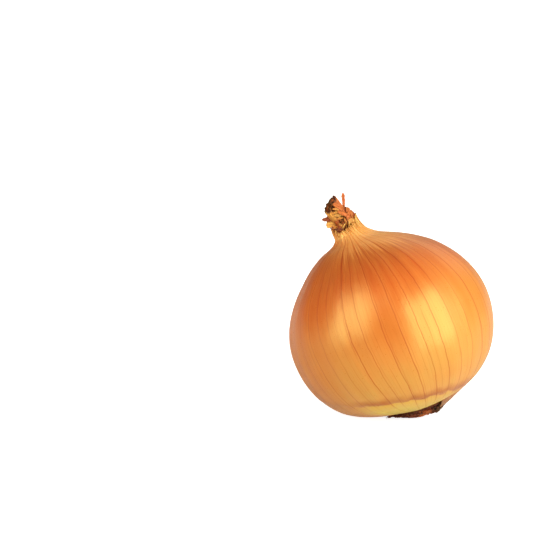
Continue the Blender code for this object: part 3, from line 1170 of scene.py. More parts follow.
@dataclass
class BaseFlap:
    """The dry reddish flap of skin that wraps the right side of the roots.

    Angles are in degrees. The levels are those of the colour bands that it goes through.
    """

    form: OnionForm
    finish: SkinFinish
    steps: int = 20
    columns: int = 60
    corners: tuple[Pair, ...] = (
        (20.4 * MM, -31.1 * MM), (15.4 * MM, -33.2 * MM), (14.1 * MM, -33.9 * MM), (9.0 * MM, -36.1 * MM)
    )
    side: float = -6.0
    half_width: float = 24.0
    widening: float = 28.0
    narrowing: float = 16.0
    half_thickness: float = 0.13 * MM
    tear: float = 1.3 * MM
    tear_start: float = 0.5
    tears: tuple[Ripple, ...] = (Ripple(1.0, 7.0, 70.0), Ripple(0.4, 23.0, 73.0))
    tear_rise: float = 0.55
    crumple: Ripple = Ripple(0.22 * MM, 9.0, 80.0)
    belly: float = 0.25 * MM
    sag: float = 0.35 * MM
    corner_lift: float = 0.55 * MM
    hem_tear: float = 0.4 * MM
    hem_share: float = 0.35
    hem_ripple: Ripple = Ripple(1.0, 8.0, 90.0)
    level_start: float = 0.5 * MM
    level_fall: float = 4.0 * MM
    level_bend: float = 0.7
    vein_spacing: float = 3.0

    def spot(self, point: Pair, share: float, place: float) -> Spot:
        """The flap's place at a share of the way down.

        Args:
            point: The radius and height of its middle line there.
            share: How far down, from 0 to 1.
            place: Where across, from -1 to 1.

        Returns:
            The place.
        """
        half = self.half_width + self.widening * smooth_step(share * 2) - self.narrowing * share**3
        angle = math.radians(self.side) + math.radians(half) * place
        torn = self.tear * share**2 * (self.tear_start + sum(r.at(angle) for r in self.tears))
        crumple = self.crumple.at(angle, share * 2) * share + self.belly * share * (1 - place**2)
        low = self.sag * (1 - abs(place) ** 3) * share
        low -= self.corner_lift * place**4 * math.sin(math.pi * share)
        low -= self.hem_tear * max(1 - share / self.hem_share, 0.0) * (0.4 + self.hem_ripple.at(angle))
        faces = []
        for thick in (self.half_thickness, -self.half_thickness):
            height = point[1] + self.tear_rise * torn - low + 0.3 * thick
            faces.append(self.form.place(point[0] + torn + crumple + thick, angle, height))
        level = self.form.base[1] + self.level_start - self.level_fall * share**self.level_bend
        return Spot(*faces, {
            Layer.VEINS: ((angle / math.tau + 1) * self.finish.vein_count, share),
            Layer.TURN: (math.cos(angle), math.sin(angle)),
            Layer.LEVEL: (self.form.level(level), self.vein_spacing),
            Layer.EDGE: Skin.no_edge,
        })

    def build(self, material: bpy.types.Material) -> None:
        """Builds the flap.

        Args:
            material: The skin's finish.
        """
        path = curve(self.corners, self.steps)
        draft = MeshDraft()
        draft.add_sheet(
            self.steps, self.columns, lambda i, j: self.spot(path[i], i / self.steps, 2 * j / self.columns - 1)
        )
        draft.make("base_flap", Slot.SKIN, material, "bulb")


@dataclass
class Skin:
    """The bulb's skin, from the seat of the roots over the torn rim into the neck's cup.

    The spans round the onion are in degrees.
    """

    no_edge = (9.0, 0.0)

    form: OnionForm
    finish: SkinFinish
    around: int = 360
    rings: tuple[int, int, int, int] = (72, 76, 36, 24)
    cup_rings: int = 12
    seat_rings: tuple[float, ...] = (0.4, 0.8, 1.0)
    inset: float = 0.10 * MM
    lump: float = 0.14 * MM
    lump_fineness: float = 3.0
    lump_length: float = 12.0 * MM
    lump_calm: float = 0.7
    gather_start: float = 24.0 * MM
    wrinkles: Folds = Folds(23, 0.10 * MM, 4.0, 2.0, 9 * MM)
    pleats: Folds = Folds(41, 0.16 * MM, 5.0, 3.0, 5 * MM, 2.0)
    facets: Folds = Folds(25, 0.05 * MM, 3.0, 1.6, 45 * MM)
    rim_thickness: float = 0.28 * MM
    rim_tears: tuple[Ripple, ...] = (Ripple(0.4 * MM, 12.0, 3.0), Ripple(0.22 * MM, 31.0, 6.0))
    nick_depth: float = 0.9 * MM
    nicks: Ripple = Ripple(1.0, 7.0, 15.0)
    nick_span: Pair = (0.22, 0.42)
    notch_side: float = math.radians(250)
    notch_width: float = math.radians(27)
    notch_depth: float = 0.6 * MM
    lip_rise: float = 0.9 * MM
    lip_width: float = math.radians(34)
    flare: float = 0.45 * MM
    flare_ripple: Ripple = Ripple(1.0, 6.0, 21.0)
    hem: float = 2.5 * MM
    hem_tear: Ripple = Ripple(0.35 * MM, 9.0, 30.0)
    hem_rise: float = 0.4
    edge_height: float = -24.7 * MM
    edge_tilt: Pair = (-5.3 * MM, 2.67 * MM)
    edge_tears: tuple[Ripple, ...] = (Ripple(0.9 * MM, 6.0, 40.0), Ripple(0.3 * MM, 21.0, 44.0))
    edge_step: float = 0.13 * MM
    edge_width: float = 0.9 * MM
    front: Pair = (200.0, 340.0)
    bare_span: Pair = (217.0, 237.0)
    dim_span: Pair = (316.0, 332.0)
    dimming: float = 0.6
    bare_behind: Ripple = Ripple(3.0, 2.5, 90.0)
    behind_share: float = 0.3
    swirl: float = 0.05
    swirl_length: float = 26.0 * MM
    swirl_start: float = 0.5
    warp: Ripple = Ripple(0.03, 1.5)
    warp_length: float = 30.0 * MM
    inside_level: float = 0.6 * MM
    seat_level: float = 1.0 * MM
    tan_rise: Pair = (20.0 * MM, 29.0 * MM)
    tan_fall: Pair = (44.0 * MM, 35.0 * MM)
    tan_tilt: Pair = (2.6 * MM, -1.0 * MM)
    tan_ripple: Ripple = Ripple(1.1 * MM, 4.0, 60.0)

    def torn_rim(self, angle: float) -> float:
        """The rim's height, with fine tears, a lip on the right and a notch in front.

        Args:
            angle: Where round the axis, in radians.

        Returns:
            The height.
        """
        tears = sum(ripple.at(angle) for ripple in self.rim_tears)
        lip = self.lip_rise * bell(math.remainder(angle, math.tau), self.lip_width)
        away = math.remainder(angle - self.notch_side, math.tau)
        nick = self.nick_depth * smooth_step(self.nicks.at(angle), *self.nick_span)
        nick *= 1 - bell(away, self.notch_width)
        notch = self.notch_depth * bell(away, self.notch_width, 4)
        return self.form.rim_height(angle) + tears + lip - nick - notch

    def torn_edge(self, angle: float) -> float:
        """The height at which the outer skin ends and bares the layer below it."""
        tilt = self.edge_tilt[0] * math.cos(angle) + self.edge_tilt[1] * math.sin(angle)
        return self.edge_height + tilt + sum(ripple.at(angle) for ripple in self.edge_tears)

    def bareness(self, angle: float) -> float:
        """How clearly the yellow layer shows below the torn edge: fully in front, in patches behind.

        Args:
            angle: Where round the axis, in radians.

        Returns:
            The share, from 0 to 1.
        """
        side = math.degrees(angle % math.tau)
        clear = smooth_step(side, *self.bare_span) * (1 - self.dimming * smooth_step(side, *self.dim_span))
        if self.front[0] < side < self.front[1]:
            return clear
        return max(clear, smooth_step(self.bare_behind.at(angle) + self.behind_share))

    def relief(self, angle: float, height: float) -> float:
        """The fine relief that is added to the form's own radius.

        Args:
            angle: Where round the axis, in radians.
            height: The height about the widest level.

        Returns:
            How far the skin stands out there.
        """
        lump = self.lump * noise.noise(around_axis(angle, self.lump_fineness, height / self.lump_length))
        gather = smooth_step(height, self.gather_start, self.form.neck[1])
        outer_layer = smooth_step((height - self.torn_edge(angle)) / self.edge_width) - 1
        folds = self.wrinkles.at(angle, height) * gather + self.pleats.at(angle, height) * gather**3
        body = lump * (1 - self.lump_calm * gather) + self.facets.at(angle, height) * (1 - gather)
        return body + self.edge_step * outer_layer + folds - self.inset

    def outer_rows(self) -> list[Ring]:
        """The rings outside.

        Returns:
            For each ring, its level in the plain profile and its (radius, height) at each angle.
        """
        rows = []
        turns = [math.tau * i / self.around for i in range(self.around)]
        rims = [self.torn_rim(a) for a in turns]
        neck, base = self.form.neck[1], self.form.base[1]
        for radius, height in self.form.profile(self.rings):
            row = []
            high = max(height - neck, 0.0) / (self.form.rim[1] - neck)
            low = smooth_step(height, base + self.hem, base)
            for angle, rim in zip(turns, rims):
                flare = self.flare * high**2 * (math.cos(angle) + self.flare_ripple.at(angle))
                wide = self.form.skin_radius(radius, angle, height) + self.relief(angle, height) + flare
                torn = self.hem_tear.at(angle) * low
                row.append((wide + torn, self.form.up_to_rim(height, rim) + self.hem_rise * torn))
            rows.append((height, row))
        return rows

    def inner_rows(self, last: list[Pair]) -> list[Ring]:
        """The rings inside the cup, from the rim down to its floor.

        Args:
            last: The rim's (radius, height) at each angle.

        Returns:
            For each ring, the level of its colour and its (radius, height) at each angle.
        """
        rows = []
        for i in range(self.cup_rings + 1):
            share = i / self.cup_rings
            row = []
            for wide, high in last:
                inside = (wide - self.rim_thickness) * (1 - share) + self.form.cup_radius * share
                row.append((inside, high + (self.form.cup_floor - high) * share))
            rows.append((self.form.rim[1] + self.inside_level + share * MM, row))
        return rows

    def base_rows(self, first: list[Pair]) -> list[Ring]:
        """The rings of the seat of the roots, from its middle out to the skin's lower edge.

        Args:
            first: The lower edge's (radius, height) at each angle.

        Returns:
            For each ring, the level of its colour and its (radius, height) at each angle.
        """
        radius, floor = self.form.seat_radius, self.form.base[1] + self.form.seat_depth
        rows = [[(radius * share, floor)] * self.around for share in self.seat_rings]
        rows.append([(radius + 0.5 * (wide - radius), high) for wide, high in first])
        return [(self.form.base[1] - self.seat_level, row) for row in rows]

    def build(self, material: bpy.types.Material) -> None:
        """Builds the skin.

        Args:
            material: Its finish.
        """
        outer = self.outer_rows()
        rows = self.base_rows(outer[0][1]) + outer + self.inner_rows(outer[-1][1])
        turns = [math.tau * i / self.around for i in range(self.around)]
        points = [[self.form.place(r, a, h) for (r, h), a in zip(row, turns)] for _, row in rows]
        draft = MeshDraft()
        numbers = draft.add_rows(points, self.marks(rows))
        ends = (
            (numbers[0], self.form.base[1] + self.form.seat_depth, 0.0, False),
            (numbers[-1], self.form.cup_floor, 1.0, True),
        )
        for ring, height, level, up in ends:
            draft.add_cap(ring, self.form.place(0, 0, height), {
                Layer.VEINS: (0.0, 0.0), Layer.TURN: (0.0, 0.0), Layer.LEVEL: (level, 1.0), Layer.EDGE: self.no_edge
            }, up)
        draft.make("onion_skin", Slot.SKIN, material, "bulb")

    def marks(self, rows: list[Ring]) -> dict[Layer, list[list[Pair]]]:
        """The skin's surface coordinates.

        Args:
            rows: For each ring, its level and its (radius, height) at each angle.

        Returns:
            For each layer, a grid with one more column than the rings have points.
        """
        layers = (Layer.VEINS, Layer.TURN, Layer.LEVEL, Layer.EDGE)
        found: dict[Layer, list[list[Pair]]] = {layer: [] for layer in layers}
        along = 0.0
        count = self.finish.vein_count
        turns = [math.tau * j / self.around for j in range(self.around + 1)]
        for i, (level, row) in enumerate(rows):
            before = rows[max(i - 1, 0)][1]
            along += math.dist(row[0], before[0]) / (10 * MM)
            swirl = self.swirl * math.sin(level / self.swirl_length + self.swirl_start)
            warped = [a + swirl + self.warp.at(a, level / self.warp_length) for a in turns]
            spacing = math.tau * max(row[0][0], 1 * MM) / count / MM
            found[Layer.VEINS].append([(w / math.tau * count + 1, along) for w in warped])
            found[Layer.TURN].append([(math.cos(w), math.sin(w)) for w in warped])
            found[Layer.LEVEL].append([(self.form.level(self.colour_level(level, a)), spacing) for a in turns])
            found[Layer.EDGE].append([((level - self.torn_edge(a)) / MM, self.bareness(a)) for a in turns])
        return found

    def colour_level(self, level: float, angle: float) -> float:
        """The height whose colour the skin has here: the tan of the neck reaches lower on the right.

        Args:
            level: The height in the plain profile.
            angle: Where round the axis, in radians.

        Returns:
            The height of the colour.
        """
        fade = smooth_step(level, *self.tan_rise) * smooth_step(level, *self.tan_fall)
        tilt = self.tan_tilt[0] * math.cos(angle) + self.tan_tilt[1] * math.sin(angle)
        return level + fade * (tilt + self.tan_ripple.at(angle))


@dataclass(frozen=True)
class LeafEnd:
    """One dry leaf's torn end. Angles are in degrees and lengths in millimetres."""

    name: str
    side: float
    half_width: float
    radius: float
    tip_radius: float
    tip_height: float
    tone: float = 0.3
    # The low tone darkens the leaf's lower part inside the neck: partly the dry leaf's own brown, partly painted shade
    # in the hollow below the rim.
    low_tone_and_shade: float = 0.5
    stain: float = 1.0
    narrowing: float = 0.0
    fall: float = 2.8
    fall_side: float = 35.0
    tear: float = 0.12
    waist: float = 0.0


@dataclass(frozen=True)
class Flake:
    """A small torn flake of leaf. Its ends are (degrees, millimetres out, millimetres up)."""

    name: str
    start: tuple[float, float, float]
    end: tuple[float, float, float]
    start_width: float
    end_width: float
    tone: float = 0.5
    stain: float = 0.3
    roll: float = 0.0
    bow: float = 0.3
    cup: float = 0.25
    dark_edge: float = 0.0


@dataclass(frozen=True)
class FibreBed:
    """A bed of loose fibres. Angles are in degrees, tops in millimetres up and leans in radians."""

    count: int
    sides: Pair
    tops: Pair
    leans: Pair


@dataclass
class LeafEnds:
    """The dry leaf ends that stand in the neck, with the pith and loose fibres between them."""

    form: OnionForm
    finish: LeafFinish
    root_height: float = 38.0 * MM
    steps: int = 50
    column: float = math.radians(2.2)
    thickness: float = 0.24 * MM
    waist_height: float = 41.8 * MM
    waist_reach: float = 2.0 * MM
    jag_share: float = 0.4
    jags: tuple[Ripple, ...] = (Ripple(1.1, 4.0), Ripple(0.5, 12.0), Ripple(0.12, 30.0))
    pleat_depth: float = 0.15 * MM
    pleat_count: int = 8
    crease_depth: float = 0.06 * MM
    crease_count: int = 27
    bulge: float = 0.34 * MM
    frayed: float = math.radians(5)
    flake_steps: int = 20
    flake_columns: int = 10
    flake_thickness: float = 0.2 * MM
    flake_lump: float = 0.22 * MM
    flake_jag: float = 0.35
    pith_top: float = 38.9 * MM
    pith_radius: float = 4.05 * MM
    pith_lump: float = 0.5 * MM
    pith_sides: int = 64
    pith_rings: int = 8
    fibre_steps: int = 8
    fibre_sides: int = 6
    beds: tuple[FibreBed, ...] = (
        FibreBed(72, (246, 322), (41.6, 44.4), (0.0, 0.5)),
        FibreBed(48, (0, 360), (40.2, 43.4), (-0.25, 0.25)),
    )
    ends: tuple[LeafEnd, ...] = (
        LeafEnd("outer_layer", 40, 106, 4.4, 4.7, 46.2, tone=0.56, stain=0.91, fall=3.4, fall_side=62, tear=0.14),
        LeafEnd("right_layer", 5, 42, 4.65, 5.0, 44.2, tone=0.5, low_tone_and_shade=0.45, stain=0.92, fall=0.0, tear=0.45),
        LeafEnd("back_layer", 112, 70, 4.0, 4.3, 46.9, tone=0.5, low_tone_and_shade=0.55, stain=0.93, fall=0.0, tear=0.4),
        LeafEnd("back_sheet", 68, 112, 3.3, 2.95, 51.8, tone=0.56, low_tone_and_shade=0.6, narrowing=-0.12, fall=2.9, tear=0.05),
        LeafEnd("second_sheet", 80, 118, 2.95, 2.65, 51.6, tone=0.62, low_tone_and_shade=0.7, stain=0.98, fall=2.9, tear=0.05),
        LeafEnd("front_sheet", 204, 46, 3.15, 3.2, 49.2, tone=0.22, low_tone_and_shade=0.62, fall=3.0, fall_side=178, waist=0.3),
        LeafEnd(
            "front_fold", 228, 66, 2.8, 2.85, 48.7, tone=0.16, low_tone_and_shade=0.74, stain=0.9, fall=4.6, fall_side=176,
            waist=0.9,
        ),
        LeafEnd(
            "middle_fold", 262, 62, 2.4, 2.45, 49.0, tone=0.34, low_tone_and_shade=0.66, stain=0.93, fall=3.4, fall_side=140,
            waist=0.8,
        ),
        LeafEnd("inner_sheet", 140, 105, 2.10, 2.1, 50.6, tone=0.45, low_tone_and_shade=0.8, tear=0.06),
        LeafEnd("inner_fold", 262, 80, 1.8, 1.8, 49.6, tone=0.25, low_tone_and_shade=0.9, waist=0.4),
        LeafEnd("core_sheet", -20, 110, 1.15, 1.2, 49.4, tone=0.6, low_tone_and_shade=0.9),
        LeafEnd("core_fold", 170, 120, 0.8, 0.8, 49.8, tone=0.7, low_tone_and_shade=0.9),
        # A dark sheet behind the hollow: partly brown fibres, partly painted shade in the hollow.
        LeafEnd("hollow_shade_wall", 300, 34, 3.5, 3.75, 42.9, tone=0.72, low_tone_and_shade=0.95, stain=0.7, fall=0.0, tear=0.6),
    )
    flakes: tuple[Flake, ...] = (
        Flake("brown", (198, 2.9, 45.2), (188, 5.9, 46.9), 2.5, 0.9, tone=0.86, stain=0.2, bow=0.35),
        Flake("yellow", (208, 3.1, 42.5), (200, 5.9, 44.5), 1.9, 2.8, tone=0.16, stain=0.25, bow=0.5, roll=10),
        Flake("yellow_fold", (222, 3.6, 41.6), (212, 4.9, 42.9), 1.2, 1.5, tone=0.36, bow=0.4, roll=-20),
        Flake("hook", (215, 4.3, 42.1), (212, 6.0, 42.8), 0.55, 0.3, tone=0.98, stain=0.2),
        Flake("low_shred", (228, 4.6, 40.8), (231, 5.2, 39.0), 0.5, 0.35, tone=0.9, stain=0.2),
        Flake("lip", (300, 4.7, 39.8), (302, 5.2, 42.0), 2.7, 1.9, tone=0.1, bow=0.4, cup=0.4),
        Flake("sliver", (252, 4.1, 40.2), (278, 4.3, 41.3), 0.6, 0.5, tone=0.08, stain=0.2),
        Flake("curl", (262, 3.5, 40.3), (246, 3.7, 42.6), 0.9, 0.7, tone=0.3, bow=0.6),
        Flake("scrap", (284, 3.9, 40.4), (292, 3.6, 43.3), 0.7, 0.5, tone=0.42, stain=0.4, bow=0.5),
        # A dark strip along the inner front rim: partly the torn rim's dark brown, partly painted shade inside the
        # rim.
        Flake("dark_rim_and_shade", (220, 4.9, 41.5), (258, 5.1, 39.9), 0.8, 0.8, tone=0.97, stain=0.2, bow=0.5, roll=20),
        Flake("upright", (24, 3.3, 45.4), (29, 7.0, 50.4), 0.8, 1.7, tone=0.6, stain=0.6, bow=0.25, cup=0.1),
        Flake("shred_foot", (24, 3.3, 45.6), (23, 3.9, 46.9), 0.6, 0.7, tone=0.95, stain=0.2),
        Flake("right_cover", (322, 4.4, 42.4), (347, 4.4, 45.7), 1.9, 1.5, tone=0.54, stain=0.4),
        Flake("salmon_band", (282, 3.3, 46.4), (315, 4.7, 42.0), 1.0, 1.6, tone=0.56, bow=0.5, dark_edge=0.6),
        Flake(
            "inner_salmon", (319, 3.2, 46.0), (288, 2.7, 49.7), 1.7, 1.3, tone=0.56, stain=0.5, bow=0.4,
            dark_edge=0.9,
        ),
        Flake(
            "inner_crease", (300, 3.0, 46.4), (262, 2.8, 48.2), 0.9, 0.8, tone=0.36, stain=0.7, bow=0.5,
            dark_edge=0.9,
        ),
        Flake(
            "upper_fold", (192, 3.15, 47.2), (322, 3.2, 44.9), 1.1, 1.0, tone=0.24, stain=0.8, bow=1.65,
            dark_edge=1.0,
        ),
        Flake(
            "middle_fold", (198, 3.1, 45.9), (314, 3.25, 44.0), 1.2, 0.8, tone=0.14, stain=0.8, bow=1.55,
            dark_edge=0.95,
        ),
        Flake("lower_fold", (212, 3.1, 44.3), (300, 3.3, 43.1), 1.0, 0.6, tone=0.3, stain=1.0, bow=1.1, dark_edge=1.0),
        Flake("back_scrap", (62, 4.4, 44.6), (58, 5.1, 47.2), 1.2, 0.5, tone=0.6, roll=60),
        Flake("far_scrap", (112, 4.3, 45.0), (108, 5.4, 47.6), 0.9, 0.6, tone=0.35, roll=90),
        Flake("left_scrap", (150, 4.4, 43.2), (146, 5.6, 45.0), 1.4, 0.9, tone=0.66, roll=50),
        Flake("right_scrap", (338, 5.1, 41.4), (336, 5.9, 43.4), 0.9, 0.35, tone=0.75),
    )

    def path(self, leaf: LeafEnd) -> list[Pair]:
        """The leaf's middle line, upright in the neck and opening above its rim.

        Args:
            leaf: The leaf end.

        Returns:
            Its points as (radius, height), from its foot to its tip.
        """
        radius, tip_radius, tip_height = (v * MM for v in (leaf.radius, leaf.tip_radius, leaf.tip_height))
        third = (tip_height - self.root_height) / 3
        corners = ((radius, self.root_height), (radius, self.root_height + third))
        corners += ((0.5 * (radius + tip_radius), tip_height - third), (tip_radius, tip_height))
        pinched = []
        for wide, height in curve(corners, self.steps):
            pinched.append((wide - leaf.waist * MM * bell(height - self.waist_height, self.waist_reach), height))
        return pinched

    def drop(self, leaf: LeafEnd, angle: float, share: float) -> float:
        """How far the leaf's torn tip falls short of its full height at this angle.

        Args:
            leaf: The leaf end.
            angle: Where round the neck, in radians.
            share: How far up the leaf, from 0 to 1.

        Returns:
            The drop.
        """
        seed = leaf.radius * 7 + leaf.side
        jag = self.jag_share + sum(ripple.at(angle, seed) for ripple in self.jags)
        torn = leaf.tear * max(jag, 0.0) * (leaf.tip_height * MM - self.form.rim[1])
        cut = leaf.fall * MM * (0.5 - 0.5 * math.cos(angle - math.radians(leaf.fall_side)))
        return share**2 * cut + share**4 * torn

    def crumple(self, leaf: LeafEnd, angle: float, share: float) -> float:
        """How far a point of the leaf is pushed off its plain curve.

        Args:
            leaf: The leaf end.
            angle: Where round the neck, in radians.
            share: How far up the leaf, from 0 to 1.

        Returns:
            The push, outward.
        """
        seed = leaf.radius * 5 + leaf.side * 0.1
        wander = 2.5 * share + 2 * uneven(angle, 1.5, share * 2 + seed)
        pleat = self.pleat_depth * math.sin(angle * self.pleat_count + seed + wander)
        wander = seed * 2 + 3 * uneven(angle, 2.0, share * 3)
        crease = self.crease_depth * math.sin(angle * self.crease_count + wander)
        bulge = self.bulge * noise.noise(around_axis(angle, 2, share * 3 + seed))
        return (pleat + crease + bulge) * smooth_step(share * 2.5)

    def leaf_end(self, leaf: LeafEnd, material: bpy.types.Material) -> None:
        """Builds one leaf end as a closed thin sheet round the neck.

        Args:
            leaf: The leaf end.
            material: Its finish.
        """
        half = math.radians(leaf.half_width)
        across = max(8, round(2 * half / self.column))
        path = self.path(leaf)

        def spot(i: int, j: int) -> Spot:
            """The leaf's place at a step up and a step across.

            Args:
                i: The step up.
                j: The step across.

            Returns:
                The place.
            """
            share, place = i / self.steps, 2 * j / across - 1
            above, below = path[min(i + 1, self.steps)], path[max(i - 1, 0)]
            normal = Vector((above[1] - below[1], below[0] - above[0], 0)).normalized()
            frayed = self.frayed * uneven(leaf.side + place, 3.0, share * 5) * abs(place)
            angle = math.radians(leaf.side) + half * (1 - leaf.narrowing * share**2) * place + frayed
            fall, push = self.drop(leaf, angle, share), self.crumple(leaf, angle, share)
            thick = self.thickness * (1 - 0.6 * abs(place) ** 8) * (1 - 0.5 * share**6)
            faces = []
            for offset in (push + thick / 2, push - thick / 2):
                skin = Vector((*path[i], 0)) + normal * offset
                faces.append(self.form.place(skin.x, angle, skin.y - fall))
            # Partly the leaf's own brown, partly painted shade: the lower part takes the darker low tone.
            tone = leaf.low_tone_and_shade + (leaf.tone - leaf.low_tone_and_shade) * smooth_step(share, 0.5, 0.66)
            strand = (angle * leaf.radius, (path[i][1] - self.root_height) / MM)
            return Spot(*faces, {Layer.STRAND: strand, Layer.TONE: (tone, share * leaf.stain)})

        draft = MeshDraft()
        draft.add_sheet(self.steps, across, spot)
        draft.make(f"leaf_end_{leaf.name}", Slot.LEAF, material, "neck_leaf_ends")

    def add_flake(self, draft: MeshDraft, flake: Flake, number: int) -> None:
        """Adds one flake, which faces the front unless it is rolled.

        Args:
            draft: What it is added to.
            flake: Its sizes.
            number: Its number, which makes its outline its own.
        """
        foot, tip = (
            self.form.place(radius * MM, math.radians(side), height * MM)
            for side, radius, height in (flake.start, flake.end)
        )
        middle = math.radians((flake.start[0] + flake.end[0]) / 2)
        length = (tip - foot).length / MM
        forward = (tip - foot).normalized()
        facing = around_axis(middle, 0.3, 0.2) + Vector((0, -0.7, 0))
        facing = (facing - forward * facing.dot(forward)).normalized()
        facing = Matrix.Rotation(math.radians(flake.roll), 3, forward) @ facing
        beside = forward.cross(facing)

        def spot(i: int, j: int) -> Spot:
            """The flake's place at a step along and a step across.

            Args:
                i: The step along.
                j: The step across.

            Returns:
                The place.
            """
            share, place = i / self.flake_steps, 2 * j / self.flake_columns - 1
            width = (flake.start_width + (flake.end_width - flake.start_width) * share) * MM / 2
            width *= math.sqrt(max(1 - max((share - 0.75) / 0.26, 0.0) ** 2, 0.02))
            centre = foot.lerp(tip, share) + facing * flake.bow * MM * math.sin(math.pi * share)
            edge = 4.0 if place > 0 else 0.0
            jag = 1 + self.flake_jag * noise.noise(Vector((share * 5, number * 3.1, edge)))
            lump = self.flake_lump * noise.noise(Vector((share * 4, place * 1.6, number * 1.9)))
            off = beside * place * width * jag + facing * (flake.cup * place**2 * width + lump)
            thick = self.flake_thickness * (1 - 0.6 * abs(place) ** 6) / 2
            return Spot(centre + off + facing * thick, centre + off - facing * thick, {
                Layer.STRAND: ((place + 1) * flake.start_width, share * length),
                Layer.TONE: (flake.tone, max(share * flake.stain, flake.dark_edge * abs(place) ** 4)),
            })

        draft.add_sheet(self.flake_steps, self.flake_columns, spot)

    def add_fibre(self, draft: MeshDraft, bed: FibreBed, number: int, rng: random.Random) -> None:
        """Adds one loose fibre.

        Args:
            draft: What it is added to.
            bed: The bed that it stands in.
            number: Its number, which makes its bends its own.
            rng: The fibres' source of chance.
        """
        radius = rng.uniform(2.6, 4.1) * MM
        angle = math.radians(rng.uniform(*bed.sides))
        top = rng.uniform(*bed.tops) * MM
        lean = rng.uniform(*bed.leans)
        path = []
        for step in range(self.fibre_steps + 1):
            share = step / self.fibre_steps
            wander = 0.25 * MM * noise.noise(Vector((share * 3, number * 1.7, 0)))
            height = self.pith_top - 0.6 * MM + share * (top - self.pith_top)
            path.append(self.form.place(radius + wander, angle + lean * share, height))
        width = rng.uniform(0.06, 0.15) * MM
        widths = [width * (1 - 0.55 * step / self.fibre_steps) for step in range(self.fibre_steps + 1)]
        draft.add_tube(path, widths, self.fibre_sides, rng.uniform(0.15, 0.98))

    def add_pith(self, draft: MeshDraft) -> None:
        """Adds the lumpy dry pith that closes the cup below the leaf ends.

        Args:
            draft: What it is added to.
        """
        turns = [math.tau * j / self.pith_sides for j in range(self.pith_sides)]
        low = self.form.cup_floor + 0.4 * MM
        rows = [[self.form.place(self.pith_radius, angle, low) for angle in turns]]
        for i in range(self.pith_rings + 1):
            share = 1 - i / self.pith_rings * 0.96
            row = []
            for angle in turns:
                lump = self.pith_lump * noise.noise(around_axis(angle, share * 5, 1.5))
                row.append(self.form.place(self.pith_radius * share, angle, self.pith_top + lump))
            rows.append(row)
        ends = (self.form.place(0, 0, low), self.form.place(0, 0, self.pith_top))
        draft.add_lump(rows, ends, tone=(0.9, 0.4), strand=(0.5, 0.6))

    def build(self) -> None:
        """Builds every leaf end and flake, the fibres and the pith."""
        material = self.finish.material()
        for leaf in self.ends:
            self.leaf_end(leaf, material)
        draft = MeshDraft()
        for number, flake in enumerate(self.flakes):
            self.add_flake(draft, flake, number)
        draft.make("leaf_flakes", Slot.LEAF, material, "neck_leaf_ends")
        rng = random.Random(5)
        draft = MeshDraft()
        for number, bed in enumerate(bed for bed in self.beds for _ in range(bed.count)):
            self.add_fibre(draft, bed, number, rng)
        self.add_pith(draft)
        draft.make("neck_fibres", Slot.LEAF, material, "neck_leaf_ends")


